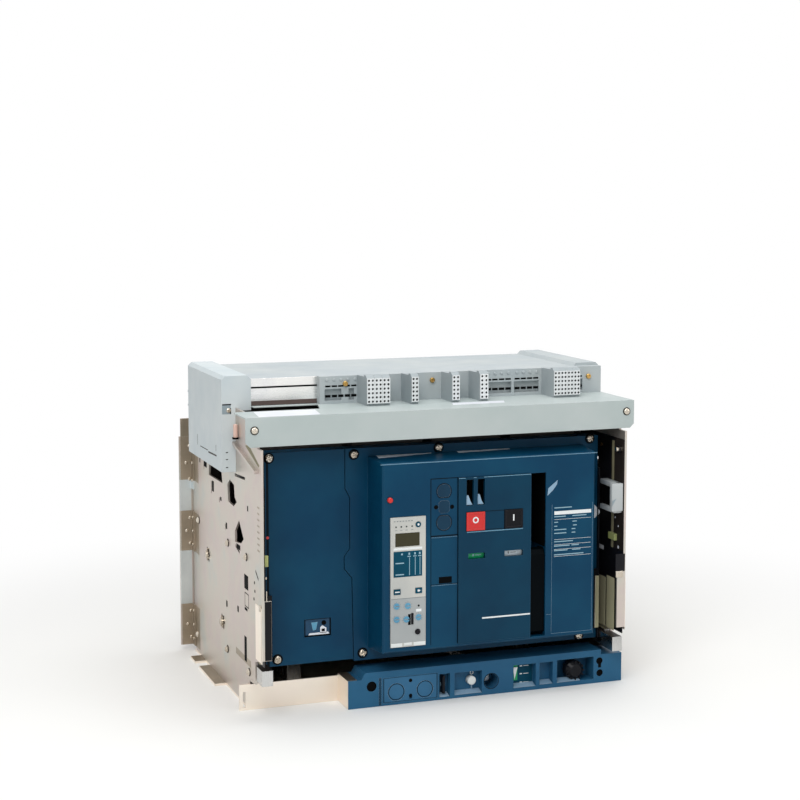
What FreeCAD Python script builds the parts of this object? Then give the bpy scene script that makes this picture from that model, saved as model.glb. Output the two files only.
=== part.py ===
import FreeCAD, Part

import math
import os

import Sketcher

# A four-pole draw-out air circuit breaker in its chassis.
# Millimetres. X runs to the right, Y to the back and Z up. The origin is the middle of the footprint.

doc = FreeCAD.newDocument("draw_out_breaker")
sheet = doc.addObject("Spreadsheet::Sheet", "Dims")


class Dim:
    """A number together with the sheet expression that gives it."""

    def __init__(self, number, words):
        self.number = number
        self.words = words

    def __add__(self, other):
        return Dim(self.number + number(other), "(%s + %s)" % (self.words, words(other)))

    def __radd__(self, other):
        return Dim(number(other) + self.number, "(%s + %s)" % (words(other), self.words))

    def __sub__(self, other):
        return Dim(self.number - number(other), "(%s - %s)" % (self.words, words(other)))

    def __rsub__(self, other):
        return Dim(number(other) - self.number, "(%s - %s)" % (words(other), self.words))

    def __mul__(self, other):
        return Dim(self.number * number(other), "(%s * %s)" % (self.words, words(other)))

    __rmul__ = __mul__

    def __truediv__(self, other):
        return Dim(self.number / number(other), "(%s / %s)" % (self.words, words(other)))

    def __neg__(self):
        return Dim(-self.number, "(-1 * %s)" % self.words)


def number(size):
    return size.number if isinstance(size, Dim) else float(size)


def words(size):
    return size.words if isinstance(size, Dim) else "(%.4f)" % size


def fixed(value):
    """A place that nothing else is worked out from."""
    return Dim(float(value), "(%g)" % value)


ZERO = fixed(0)


class Sizes:
    """The driving dimensions as the sheet's aliases."""

    rows = 0

    def add(self, alias, size):
        self.rows += 1
        sheet.set("A%d" % self.rows, alias)
        sheet.set("B%d" % self.rows, str(size))
        sheet.setAlias("B%d" % self.rows, alias)
        setattr(self, alias, Dim(float(size), "Dims." + alias))


d = Sizes()

# Driving dimensions: each one has its own row in the sheet.
SIZES = {
    # Overall
    "overall_width": 556, "overall_depth": 395, "overall_height": 439,
    # Clearances
    "running_gap": 0.3, "pin_clearance": 0.05, "slide_gap": 0.5, "seat_gap": 0.2,
    # Front planes, measured back from the foremost face
    "bar_set": 14, "panel_set": 1.2, "cover_set": 3.4, "flange_set": 54,
    # Sheet-metal side plates
    "plate_span": 517, "sheet": 3, "plate_lead": 12, "plate_nose_top": 357, "plate_nose_bottom": 84,
    "nose_back": 24, "nose_slope": 10, "nose_foot_rise": 4, "front_fold": 12.5, "front_fold_top": 162,
    "plate_step": 5, "heel": 20, "rear_flange_bottom": 8, "rear_flange_top": 322, "flange_hole": 3.3,
    "flange_hole_low": 98.6, "flange_hole_high": 257, "flange_hole_inset": 7.8, "rib_rise": 5,
    "rib_width": 4, "rib_front": 3, "rib_low": 325, "rib_high": 347,
    # Base tray
    "base_sheet": 3, "cross_width": 542, "cross_height": 34.6, "cross_set": 59, "cross_sheet": 3,
    "tray_back": 370, "foot_reach": 16.5, "foot_front": 180, "foot_length": 95, "foot_gap": 25,
    "foot_rear_length": 30, "base_hole": 4.5, "base_hole_x": 200, "base_hole_front": 130,
    "base_hole_pitch": 200, "end_slot_x": 264.4, "end_slot_width": 4, "end_slot_low": 3.6,
    "end_slot_high": 24.8,
    # Front crossbar
    "bar_width": 550, "bar_bottom": 359.4, "bar_top": 397.6, "bar_sheet": 2, "bar_corner": 6,
    "tray_cut": 60, "tray_cut_left": 158, "tray_cut_slope": 13,
    # End caps and top cover
    "cap_inner": 237, "cap_front": 115.6, "cap_length": 197.4, "cap_skirt": 310, "cap_floor": 392,
    "cap_wall": 3, "cap_chamfer": 5, "cover_top": 434, "top_cover_sheet": 3,
    # Secondary terminals
    "base_left": 145, "base_right": 275, "base_depth": 12.3, "base_top": 435, "bay_low": 4,
    "bay_high": 20, "rail_thickness": 3, "rail_slot": 2.2, "rail_slot_z": 421, "rail_bottom": 398,
    "block_front": 60, "block_top": 438.5, "block_nose": 3, "block_crown": 6, "block_foot": 3,
    # Racking bar
    "racking_left": 134.4, "racking_right": 268, "racking_front": 14.8, "racking_low_top": 38,
    "racking_high_top": 47, "racking_step": 111, "racking_slope": 5, "racking_cut": 236,
    "racking_cut_top": 40, "bar_pocket": 12, "shallow_pocket": 2.5, "button_bore_extra": 8,
    "tab_set": 3, "tab_end": 8, "tab_inset": 4, "tab_half": 1.5, "tab_hole": 4, "tab_hole_set": 10,
    "screw_x": 70.5, "screw_z": 18.6, "crank_hole": 10, "screw_radius": 6,
    "screw_front": 34, "screw_rear": 252, "collar_rim": 3, "collar_length": 4,
    "bearing_sheet": 6, "bearing_back": 244, "bearing_width": 31, "crank_x": 198.4, "crank_z": 19.9,
    "crank_knob": 13.5, "crank_rod": 5, "crank_length": 150, "crank_knob_length": 20, "release_x": 44,
    "release_z": 20.5, "release_radius": 6, "release_rise": 6,
    # Rails
    "rail_low": 51, "rail_high": 69, "rail_inner": 243, "rail_outer": 252, "guide_lip": 2.7,
    "guide_lip_reach": 5, "guide_front": 26, "guide_back": 290, "rail_end_front": 6,
    "rail_end_length": 26, "rail_end_drop": 2, "rail_end_outer": 257.5, "rail_end_wall": 3,
    "rail_back": 286,
    # Racking carriage
    "carriage_front": 150, "carriage_length": 60, "carriage_half": 205, "carriage_low": 29,
    "carriage_sheet": 6, "nut_width": 34, "nut_length": 30, "lug_x": 150, "lug_width": 24,
    "lug_height": 19, "lug_set": 10, "lug_length": 24, "runner_x": 170, "runner_width": 20,
    "ear_length": 8, "ear_drop": 7,
    # Poles
    "pole_pitch": 115, "blade_width": 60, "blade_thick": 10, "upper_z": 276, "lower_z": 126,
    "case_half": 239.7, "case_front": 62, "case_back": 200, "case_bottom": 56, "case_top": 300,
    "chamber_half": 51, "case_floor": 8, "blade_tip": 262, "blade_root": 176, "lower_blade_root": 150,
    "blade_chamfer": 8, "contact_pad": 6, "pad_half": 20, "pad_drop": 14, "stub_front": 268,
    "terminal_hole": 5.5, "terminal_hole_pitch": 32, "terminal_inset": 22, "terminal_thick": 15,
    # Rear panel and shutters
    "panel_front": 296, "panel_thick": 10, "panel_top": 392, "guard_front": 229, "guard_wall": 4,
    "guard_height": 44, "guard_half": 214, "window_height": 14, "window_width": 66, "barrier_depth": 34,
    "barrier_thick": 4, "barrier_bottom": 60, "barrier_top": 350, "shutter_thick": 4,
    "shutter_lead": 21, "shutter_trail": 8, "shutter_half": 209, "shutter_rim": 12,
    "shutter_stroke": 30, "shutter_guide": 8, "finger_front": 240, "finger_length": 48,
    "finger_width": 15, "finger_pitch": 19, "finger_thick": 8, "finger_waist": 2,
    # Arc chutes
    "chute_height": 52, "chute_half": 50, "chute_front": 76, "chute_back": 188, "chute_drop": 10,
    "chute_flange": 2, "chute_rim": 5, "slot_width": 5, "slot_pitch": 14, "slot_half": 42,
    "slot_depth": 40,
    # Pole shaft and contacts
    "shaft_y": 112, "shaft_z": 150, "shaft_radius": 11, "shaft_half": 232, "arm_width": 40,
    "arm_length": 136, "arm_depth": 16, "hub_radius": 20, "open_angle": 22, "tip_depth": 6,
    "tip_length": 20, "lever_x": 30, "lever_width": 6, "lever_front": 50, "lever_height": 16,
    "lever_slot_top": 192, "lever_slot_bottom": 138, "lever_side_gap": 1,
    # Breaker side plates and grips
    "skate_top": 80, "skate_reach": 246, "skate_front": 100, "skate_length": 80, "wing_sheet": 2,
    "wing_front": 36, "wing_low": 58, "wing_fold": 232, "wing_fold_low": 72, "wing_fold_high": 157,
    "grip_inner": 236.6, "grip_outer": 254, "grip_low": 243, "grip_high": 285, "grip_wall": 5,
    "grip_front": 12,
    # Covers
    "cover_half": 240, "cover_low": 58, "cover_high": 345, "seam_top_x": 130, "seam_bottom_x": 118.5,
    "seam_gap": 1.2, "proud_left": 98.4, "proud_right": 215, "proud_low": 75, "proud_high": 334,
    "shell": 3, "draft": 4, "front_bevel": 2, "pole_cover_low": 61, "pole_window_left": 187,
    "pole_window_right": 150, "pole_window_low": 96, "pole_window_high": 120, "window_recess": 2,
    # Trip unit
    "trip_left": 84.5, "trip_right": 35.5, "trip_low": 85.7, "trip_high": 258.9, "trip_depth": 42,
    "trip_face": 1.6, "screen_left": 78, "screen_right": 44, "screen_low": 220, "screen_high": 238,
    "screen_thick": 1.5, "key_width": 9, "key_height": 7, "key_depth": 6, "key_stroke": 1, "key_z": 160,
    "test_radius": 3.6, "dial_radius": 4.2, "dial_depth": 5, "dial_slot": 1.2, "plug_left": 56.2,
    "plug_right": 52.6, "plug_low": 115, "plug_high": 130.5, "plug_depth": 4, "face_rise": 0.8,
    "trip_joint_z": 150,
    # Control panel
    "control_left": 11, "control_right": 115.2, "control_low": 83, "control_high": 306.2,
    "off_left": 22, "off_right": 48.2, "on_left": 77, "on_right": 103, "button_low": 234.7,
    "button_high": 259.5, "button_depth": 10, "button_rim": 2.2, "button_dish": 0.6, "flag_low": 196,
    "flag_high": 204, "contact_flag_left": 25, "contact_flag_right": 49.4, "charge_flag_left": 77.4,
    "charge_flag_right": 104.5, "drum_radius": 12, "lock_left": 27.3, "lock_right": 9.8,
    "lock_low": 230.4, "lock_high": 306.2, "lock_sheet": 4, "lock_hole": 2.2,
    "slot_low": 268.5, "slot_high": 303.5,
    "slot_one_left": 22, "slot_two_left": 38, "lock_slot_width": 10.5, "counter_left": 16.3,
    "counter_right": 2, "counter_low": 166.4, "counter_high": 175, "reset_x": 84.8, "reset_z": 282.4,
    "reset_radius": 3.6,
    # Charging handle
    "recess_left": 116.6, "recess_right": 138.5, "recess_low": 82, "recess_high": 306.5,
    "recess_depth": 46, "trough_wall": 1, "handle_top": 203, "handle_pivot_z": 92,
    "handle_pivot_ahead": 2, "pivot_radius": 3, "handle_side_gap": 0.8, "finger_wall": 3,
    "finger_pocket": 12,
    # Mechanism
    "mech_left": 16, "mech_right": 150, "mech_low": 96, "mech_high": 300, "mech_sheet": 3,
    "mech_front": 1, "spindle_radius": 2, "spindle_end": 110, "flag_z": 200, "spring_left": 60,
    "spring_right": 145, "spring_radius": 10, "spring_rod": 5, "spring_y": 50, "spring_z": 115,
    # Fasteners
    "bolt_radius": 5, "bolt_height": 3.2, "cover_screw": 5.5, "cover_screw_head": 4, "bar_screw": 4.5,
    "brass_screw": 3.6, "small_head": 3, "bracket_sheet": 2, "bracket_leg": 15,
}

for alias, size in SIZES.items():
    d.add(alias, size)

front = -d.overall_depth / 2
rear = d.overall_depth / 2
bar_face = front + d.bar_set
flange_face = front + d.flange_set
plate_outer = d.plate_span / 2
plate_inner = plate_outer - d.sheet
poles = [(i - 1.5) * d.pole_pitch for i in range(4)]


def behind(distance):
    """A place measured back from the crossbar's front face."""
    return bar_face + distance


# Building blocks

made = []


def new(kind, name):
    thing = doc.addObject(kind, name)
    made.append(thing)
    return thing


def bind(thing, prop, size):
    thing.setExpression(prop, words(size))


def place(thing, x, y, z, turn=None):
    if turn is not None:
        thing.Placement = FreeCAD.Placement(FreeCAD.Vector(0, 0, 0), turn)
    bind(thing, "Placement.Base.x", x)
    bind(thing, "Placement.Base.y", y)
    bind(thing, "Placement.Base.z", z)


def box(name, across, along, up):
    """A block between pairs of X, Y and Z places."""
    thing = new("Part::Box", name)
    bind(thing, "Length", across[1] - across[0])
    bind(thing, "Width", along[1] - along[0])
    bind(thing, "Height", up[1] - up[0])
    place(thing, across[0], along[0], up[0])
    return thing


TURN = {
    "x": FreeCAD.Rotation(FreeCAD.Vector(0, 1, 0), 90),
    "y": FreeCAD.Rotation(FreeCAD.Vector(1, 0, 0), -90),
    "z": FreeCAD.Rotation(),
}


def rod(name, axis, start, length, radius):
    """A round bar from a start point along an axis."""
    thing = new("Part::Cylinder", name)
    bind(thing, "Radius", radius)
    bind(thing, "Height", length)
    place(thing, start[0], start[1], start[2], TURN[axis])
    return thing


def cut(name, base, *tools):
    thing = new("Part::Cut", name)
    thing.Base = base
    thing.Tool = tools[0] if len(tools) == 1 else fuse(name + "_tools", *tools)
    return thing


def fuse(name, *pieces):
    thing = new("Part::MultiFuse", name)
    thing.Shapes = list(pieces)
    return thing


def group(name, *pieces):
    """Separate solids kept in one node."""
    thing = new("Part::Compound", name)
    thing.Links = list(pieces)
    return thing


def mirrored(name, source):
    """The same piece on the other side of the middle plane."""
    thing = new("Part::Mirroring", name)
    thing.Source = source
    thing.Base = (0, 0, 0)
    thing.Normal = (1, 0, 0)
    return thing


def add_loop(sketch, points):
    """A closed outline whose corners are tied to the sheet."""
    first = sketch.GeometryCount
    count = len(points)
    corners = [FreeCAD.Vector(number(x), number(y), 0) for x, y in points]
    for i in range(count):
        sketch.addGeometry(Part.LineSegment(corners[i], corners[(i + 1) % count]), False)
    for i in range(count):
        sketch.addConstraint(Sketcher.Constraint("Coincident", first + i, 2, first + (i + 1) % count, 1))
    for i, (x, y) in enumerate(points):
        pin_point(sketch, first + i, 1, x, y)


def add_circle(sketch, x, y, radius):
    circle = Part.Circle(FreeCAD.Vector(number(x), number(y), 0), FreeCAD.Vector(0, 0, 1), number(radius))
    index = sketch.addGeometry(circle, False)
    pin_point(sketch, index, 3, x, y)
    row = sketch.addConstraint(Sketcher.Constraint("Radius", index, number(radius)))
    sketch.setExpression("Constraints[%d]" % row, words(radius))


def pin_point(sketch, index, corner, x, y):
    for kind, size in (("DistanceX", x), ("DistanceY", y)):
        row = sketch.addConstraint(Sketcher.Constraint(kind, -1, 1, index, corner, number(size)))
        sketch.setExpression("Constraints[%d]" % row, words(size))


def origin_plane(body, role):
    for feature in body.Origin.OriginFeatures:
        if feature.Role == role:
            return feature


def sketch_on(body, role, offset, loops=(), circles=()):
    """A sketch on one of the body's own planes. XY faces up, XZ faces front, YZ faces right."""
    sketch = body.newObject("Sketcher::SketchObject", body.Name + "_sketch")
    made.append(sketch)
    sketch.AttachmentSupport = (origin_plane(body, role), [""])
    sketch.MapMode = "FlatFace"
    sketch.setExpression("AttachmentOffset.Base.z", words(offset))
    for points in loops:
        add_loop(sketch, points)
    for x, y, radius in circles:
        add_circle(sketch, x, y, radius)
    return sketch


def new_body(name):
    return new("PartDesign::Body", name)


def pad(body, sketch, length, taper=None):
    feature = body.newObject("PartDesign::Pad", body.Name + "_pad")
    made.append(feature)
    feature.Profile = sketch
    bind(feature, "Length", length)
    if taper is not None:
        bind(feature, "TaperAngle", -taper)
    return feature


def pocket(body, sketch, length):
    """A cut that goes from the sketch against its facing direction."""
    feature = body.newObject("PartDesign::Pocket", body.Name + "_pocket")
    made.append(feature)
    feature.Profile = sketch
    bind(feature, "Length", length)
    return feature


def revolve(body, sketch, axis):
    feature = body.newObject("PartDesign::Revolution", body.Name + "_turned")
    made.append(feature)
    feature.Profile = sketch
    feature.ReferenceAxis = (sketch, [axis])
    feature.Angle = 360
    return feature


def edges_where(shape, test):
    """Names of the straight edges that pass a test on their two ends."""
    names = []
    for i, edge in enumerate(shape.Edges):
        if len(edge.Vertexes) == 2 and test(edge.Vertexes[0].Point, edge.Vertexes[1].Point):
            names.append("Edge%d" % (i + 1))
    return names


def soften(body, base, kind, size, test):
    """A fillet or chamfer on the edges that pass the test."""
    doc.recompute()
    feature = body.newObject("PartDesign::" + kind, body.Name + "_" + kind.lower())
    made.append(feature)
    feature.Base = (base, edges_where(base.Shape, test))
    bind(feature, "Radius" if kind == "Fillet" else "Size", size)
    return feature


def rectangle(left, right, low, high):
    return [(left, low), (right, low), (right, high), (left, high)]


def same(a, b):
    return abs(a - b) < 0.01


nodes = {}


def node(name, thing):
    thing.Label = name
    nodes[name] = thing


# Chassis side plates
# Cut-outs of one side plate: places behind the crossbar's face, and heights.
PLATE_WINDOWS = [
    [(197, 298), (271, 296), (273, 281), (192, 282)],
    [(124, 274), (127, 290), (150, 294), (164, 285), (161, 262), (130, 260.5), (113.5, 269)],
    [(69, 306), (69, 310), (123, 307), (123, 303)],
    [(78, 225.5), (102, 247), (125, 228), (125, 213), (92, 217)],
    [(100, 201), (100, 205), (123, 211), (123, 207)],
]
# Upright slots: place, foot and head.
PLATE_SLOTS = [
    (257, 257, 274), (302, 284, 296), (210, 252, 259), (177, 220, 228), (175.5, 111, 121),
    (113.5, 120, 127), (70, 160, 178),
]
PLATE_SLOT_HALF = 1.8
PLATE_HOLES = [(rear - 43, 203), (behind(164), 204), (rear - 100, 164), (behind(65), 204.5),
               (behind(197), 86), (rear - 32, 30), (behind(171), 53.5), (behind(54), 52.6)]


def make_side_plate():
    body = new_body("side_plate_left")
    nose = behind(-d.plate_lead)
    top = d.bar_top - d.bar_sheet
    step = behind(d.cross_set + d.cross_sheet)
    outline = [
        (nose, d.plate_nose_bottom), (behind(d.nose_back), d.plate_nose_bottom - d.nose_slope),
        (behind(d.nose_back), d.racking_cut_top + d.nose_foot_rise),
        (step, d.racking_cut_top + d.running_gap), (step, d.base_sheet),
        (rear - d.heel, d.base_sheet), (rear, d.base_sheet + d.heel), (rear, top),
        (behind(d.plate_step), top), (behind(d.plate_step), d.plate_nose_top), (nose, d.plate_nose_top),
    ]
    loops = [outline]
    for points in PLATE_WINDOWS:
        loops.append([(behind(y), z) for y, z in points])
    for y, low, high in PLATE_SLOTS:
        slot = rectangle(y - PLATE_SLOT_HALF, y + PLATE_SLOT_HALF, low, high)
        loops.append([(behind(a), b) for a, b in slot])
    pad(body, sketch_on(body, "YZ_Plane", -plate_outer, loops), d.sheet)
    flange = rectangle(-d.overall_width / 2, -plate_inner, d.rear_flange_bottom, d.rear_flange_top)
    hole_x = -d.overall_width / 2 + d.flange_hole_inset
    holes = [(hole_x, z, d.flange_hole) for z in (d.flange_hole_low, d.flange_hole_high)]
    pad(body, sketch_on(body, "XZ_Plane", -rear, [flange], holes), d.sheet)
    fold = rectangle(-plate_outer, -plate_outer + d.front_fold, d.plate_nose_bottom, d.front_fold_top)
    pad(body, sketch_on(body, "XZ_Plane", -(nose + d.sheet), [fold]), d.sheet)
    # A bent lip runs down from the crossbar to the front edge.
    lip_front = behind(d.rib_front)
    lip_back = behind(d.cap_front) - d.running_gap
    lip = [
        (lip_front, d.rib_low), (lip_back, d.rib_high),
        (lip_back, d.rib_high + d.rib_width), (lip_front, d.rib_low + d.rib_width),
    ]
    body.Tip = pad(body, sketch_on(body, "YZ_Plane", -(plate_outer + d.rib_rise), [lip]), d.rib_rise)
    return body


left_plate = make_side_plate()
node("side_plate_left", left_plate)
node("side_plate_right", mirrored("side_plate_right", left_plate))


# Base tray
def make_base_tray():
    body = new_body("base_tray")
    start = behind(d.cross_set)
    end = behind(d.tray_back)
    foot_a = behind(d.foot_front)
    foot_b = foot_a + d.foot_length
    foot_c = foot_b + d.foot_gap
    foot_d = foot_c + d.foot_rear_length
    reach = plate_outer + d.foot_reach
    half = [
        (plate_outer, start), (plate_outer, foot_a), (reach, foot_a), (reach, foot_b), (plate_outer, foot_b),
        (plate_outer, foot_c), (reach, foot_c), (reach, foot_d), (plate_outer, foot_d), (plate_outer, end),
    ]
    outline = half + [(-x, y) for x, y in reversed(half)]
    holes = []
    for x in (-d.base_hole_x, d.base_hole_x):
        for y in (d.base_hole_front, d.base_hole_front + d.base_hole_pitch):
            holes.append((x, behind(y), d.base_hole))
    pad(body, sketch_on(body, "XY_Plane", ZERO, [outline], holes), d.base_sheet)
    slots = []
    for x in (-d.end_slot_x, d.end_slot_x):
        half_slot = d.end_slot_width / 2
        slots.append(rectangle(x - half_slot, x + half_slot, d.end_slot_low, d.end_slot_high))
    flange = rectangle(-d.cross_width / 2, d.cross_width / 2, ZERO, d.cross_height)
    hole = (d.screw_x, d.screw_z, d.screw_radius + d.pin_clearance)
    crank = (d.crank_x, d.crank_z, d.crank_rod + d.slide_gap)
    offset = -(start + d.cross_sheet)
    pad(body, sketch_on(body, "XZ_Plane", offset, [flange] + slots, [hole, crank]), d.cross_sheet)
    bearing = rectangle(d.screw_x - d.bearing_width / 2, d.screw_x + d.bearing_width / 2,
                        d.base_sheet, d.cross_height)
    offset = -behind(d.bearing_back + d.bearing_sheet)
    body.Tip = pad(body, sketch_on(body, "XZ_Plane", offset, [bearing], [hole]), d.bearing_sheet)
    return body


node("base_tray", make_base_tray())


# Front crossbar: a folded channel whose top is the tray under the terminals
def make_crossbar():
    body = new_body("front_crossbar")
    half = d.bar_width / 2
    under = d.bar_top - d.bar_sheet
    back = behind(d.cap_front) - d.running_gap
    tray = [
        (-half, bar_face), (half, bar_face), (half, back), (-d.tray_cut_left + d.tray_cut_slope, back),
        (-d.tray_cut_left, behind(d.tray_cut)), (-half, behind(d.tray_cut)),
    ]
    pad(body, sketch_on(body, "XY_Plane", under, [tray]), d.bar_sheet)
    face = [
        (-half + d.bar_corner, d.bar_bottom), (half - d.bar_corner, d.bar_bottom),
        (half, d.bar_bottom + d.bar_corner), (half, d.bar_top), (-half, d.bar_top),
        (-half, d.bar_bottom + d.bar_corner),
    ]
    offset = -(bar_face + d.bar_sheet)
    body.Tip = pad(body, sketch_on(body, "XZ_Plane", offset, [face]), d.bar_sheet)
    return body


node("front_crossbar", make_crossbar())


# End caps: grey hoods over the tops of the side plates
def make_end_cap():
    body = new_body("end_cap_left")
    outer = d.overall_width / 2 - d.running_gap
    top = d.overall_height
    slot = plate_inner - d.running_gap
    roof = d.bar_top - d.bar_sheet + d.running_gap
    outline = [
        (-outer, d.cap_skirt), (-plate_outer, d.cap_skirt), (-plate_outer, roof), (-slot, roof),
        (-slot, d.cap_floor), (-d.cap_inner, d.cap_floor), (-d.cap_inner, top - d.cap_chamfer),
        (-d.cap_inner - d.cap_chamfer, top), (-outer + d.cap_chamfer, top), (-outer, top - d.cap_chamfer),
    ]
    back = behind(d.cap_front + d.cap_length)
    pad(body, sketch_on(body, "XZ_Plane", -back, [outline]), d.cap_length)
    mouth = d.cap_skirt - d.cap_wall
    hollow = [
        (-outer + d.cap_wall, mouth), (-d.cap_inner - d.cap_wall, mouth),
        (-d.cap_inner - d.cap_wall, top - d.cap_chamfer - d.cap_wall),
        (-d.cap_inner - d.cap_chamfer - d.cap_wall, top - d.cap_wall),
        (-outer + d.cap_chamfer + d.cap_wall, top - d.cap_wall),
        (-outer + d.cap_wall, top - d.cap_chamfer - d.cap_wall),
    ]
    offset = -(behind(d.cap_front) + d.cap_wall)
    body.Tip = pocket(body, sketch_on(body, "XZ_Plane", offset, [hollow]), d.cap_length - d.cap_wall * 2)
    return body


left_cap = make_end_cap()
node("end_cap_left", left_cap)
node("end_cap_right", mirrored("end_cap_right", left_cap))


# Arc chute cover: the flat lid between the end caps, with a rear lip
def make_top_cover():
    body = new_body("top_cover")
    half = d.cap_inner
    start = behind(d.cap_front) + d.rail_thickness
    end = behind(d.cap_front + d.cap_length)
    low = d.cover_top - d.top_cover_sheet
    lid = [(-half, start), (half, start), (half, end), (-half, end)]
    pad(body, sketch_on(body, "XY_Plane", low, [lid]), d.top_cover_sheet)
    lip = rectangle(-half, half, d.panel_top, d.cover_top)
    body.Tip = pad(body, sketch_on(body, "XZ_Plane", -end, [lip]), d.top_cover_sheet)
    return body


node("top_cover", make_top_cover())


# Secondary terminals
# Left and right ends of the bays in the base and of the blocks on it.
BASE_BAYS = [(-138, -114), (-104, -96), (96, 136), (140, 178), (228, 246)]
BLOCKS = [(-92, -59), (-28.5, -18.3), (30.3, 41.3), (71, 83.4), (182, 222)]


def make_terminal_rail():
    body = new_body("terminal_rail")
    back = behind(d.cap_front) + d.rail_thickness
    outline = rectangle(-d.cap_inner, d.cap_inner, d.rail_bottom, d.cover_top)
    pad(body, sketch_on(body, "XZ_Plane", -back, [outline]), d.rail_thickness)
    groove = rectangle(-d.cap_inner - 1, d.cap_inner + 1, d.rail_slot_z, d.rail_slot_z + d.rail_slot)
    offset = -(back - d.rail_thickness)
    body.Tip = pocket(body, sketch_on(body, "XZ_Plane", offset, [groove]), d.rail_thickness / 2)
    return body


def make_terminal_base():
    body = new_body("terminal_base")
    back = behind(d.cap_front) - d.running_gap
    outline = rectangle(-d.base_left, d.base_right, d.bar_top, d.base_top)
    pad(body, sketch_on(body, "XZ_Plane", -back, [outline]), d.base_depth)
    bays = []
    for left, right in BASE_BAYS:
        bays.append(rectangle(fixed(left), fixed(right), d.bar_top + d.bay_low, d.bar_top + d.bay_high))
    body.Tip = pocket(body, sketch_on(body, "XZ_Plane", -(back - d.base_depth), bays), d.base_depth / 2)
    return body


def make_blocks():
    """Terminal blocks: stepped profiles drawn from the side and padded across."""
    back = behind(d.cap_front) - d.running_gap - d.base_depth
    face = behind(d.block_front)
    profile = [
        (back, d.bar_top), (face + d.block_foot, d.bar_top), (face, d.bar_top + d.block_foot),
        (face, d.block_top - d.block_nose), (face + d.block_crown, d.block_top),
        (back, d.block_top - d.block_nose),
    ]
    blocks = []
    for left, right in BLOCKS:
        body = new_body("block")
        pad(body, sketch_on(body, "YZ_Plane", fixed(left), [profile]), fixed(right - left))
        blocks.append(body)
    return group("terminal_blocks", *blocks)


node("terminal_rail", make_terminal_rail())
node("terminal_base", make_terminal_base())
node("terminal_blocks", make_blocks())


# Racking bar: the moulding across the bottom front
# Its windows as left, right, low and high, and its plain holes as place, height and radius.
KEY_PLATE = (fixed(-86), fixed(-7.5), fixed(3.3), fixed(38))
LOCK_WINDOW = (fixed(-5.6), fixed(10.3), fixed(3.5), fixed(35.4))
RELEASE_WINDOW = (fixed(16.8), fixed(56.9), fixed(4), fixed(35))
FLAG_WINDOW = (fixed(103.5), fixed(137), fixed(5), fixed(37))
GRIP_WINDOW = (fixed(142.5), fixed(162.7), fixed(6), fixed(37))
CRANK_WINDOW = (fixed(169), fixed(225), fixed(6), fixed(38))
BAR_HOLES = [(fixed(-101.7), fixed(28), fixed(7)), (fixed(234), fixed(31), fixed(5)),
             (fixed(234.5), fixed(14), fixed(5))]
# The key plate's two screws.
KEY_PLATE_HOLES = [(fixed(-46.6), fixed(31), fixed(2.4)), (fixed(-46.6), fixed(8), fixed(2.4))]


def make_racking_bar():
    body = new_body("racking_bar")
    back = behind(d.cross_set)
    face = behind(d.racking_front)
    outline = [
        (-d.racking_left, ZERO), (d.racking_right, ZERO), (d.racking_right, d.racking_cut_top),
        (d.racking_cut, d.racking_cut_top), (d.racking_cut, d.racking_high_top),
        (-d.racking_step, d.racking_high_top), (-d.racking_step - d.racking_slope, d.racking_low_top),
        (-d.racking_left, d.racking_low_top),
    ]
    bore = d.screw_radius + d.running_gap
    pad(body, sketch_on(body, "XZ_Plane", -back, [outline], [(d.screw_x, d.screw_z, bore)]), back - face)

    def recess(loops, circles, depth):
        return pocket(body, sketch_on(body, "XZ_Plane", -face, loops, circles), depth)

    recess([rectangle(*KEY_PLATE)], [], d.shallow_pocket)
    recess([rectangle(*LOCK_WINDOW), rectangle(*RELEASE_WINDOW), rectangle(*GRIP_WINDOW)], [], d.bar_pocket)
    recess([rectangle(*FLAG_WINDOW)], [], d.bar_pocket)
    recess([], [(d.screw_x, d.screw_z, d.crank_hole)], d.screw_front - d.racking_front + d.bearing_sheet)
    recess([rectangle(*CRANK_WINDOW)], [], d.crank_knob_length + d.bearing_sheet)
    recess([], BAR_HOLES, d.bar_pocket)
    tunnel = (d.crank_x, d.crank_z, d.crank_rod + d.slide_gap)
    recess([], [tunnel], back - face)
    button_bore = (d.release_x, d.release_z, d.release_radius + d.slide_gap)
    recess([], [button_bore], d.bar_pocket + d.button_bore_extra)
    # The slit behind the window that the padlock tab slides in.
    left, right, low, high = LOCK_WINDOW
    middle = (left + right) / 2
    half = d.tab_half + d.running_gap
    reach = d.tab_inset - d.running_gap
    slit = rectangle(middle - half, middle + half, low + reach, high - reach)
    body.Tip = recess([slit], [], d.cross_set - d.racking_front - d.tab_end + d.running_gap)
    return body


node("racking_bar", make_racking_bar())


# Racking bar fittings
def make_key_plate():
    body = new_body("key_lock_plate")
    left, right, low, high = KEY_PLATE
    gap = d.seat_gap
    outline = rectangle(left + gap, right - gap, low + gap, high - gap)
    back = behind(d.racking_front) + d.shallow_pocket
    body.Tip = pad(body, sketch_on(body, "XZ_Plane", -back, [outline], KEY_PLATE_HOLES), d.shallow_pocket)
    return body


def make_padlock_slide():
    """A flat tab with a shackle hole that pulls forwards out of its window."""
    body = new_body("padlock_slide")
    left, right, low, high = LOCK_WINDOW
    middle = (left + right) / 2
    front_edge = behind(d.racking_front) + d.tab_set
    back_edge = behind(d.cross_set) - d.tab_end
    tab = rectangle(front_edge, back_edge, low + d.tab_inset, high - d.tab_inset)
    hole = (front_edge + d.tab_hole_set, (low + high) / 2, d.tab_hole)
    body.Tip = pad(body, sketch_on(body, "YZ_Plane", middle - d.tab_half, [tab], [hole]), d.tab_half * 2)
    return body


node("key_lock_plate", make_key_plate())
node("padlock_slide", make_padlock_slide())


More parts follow.
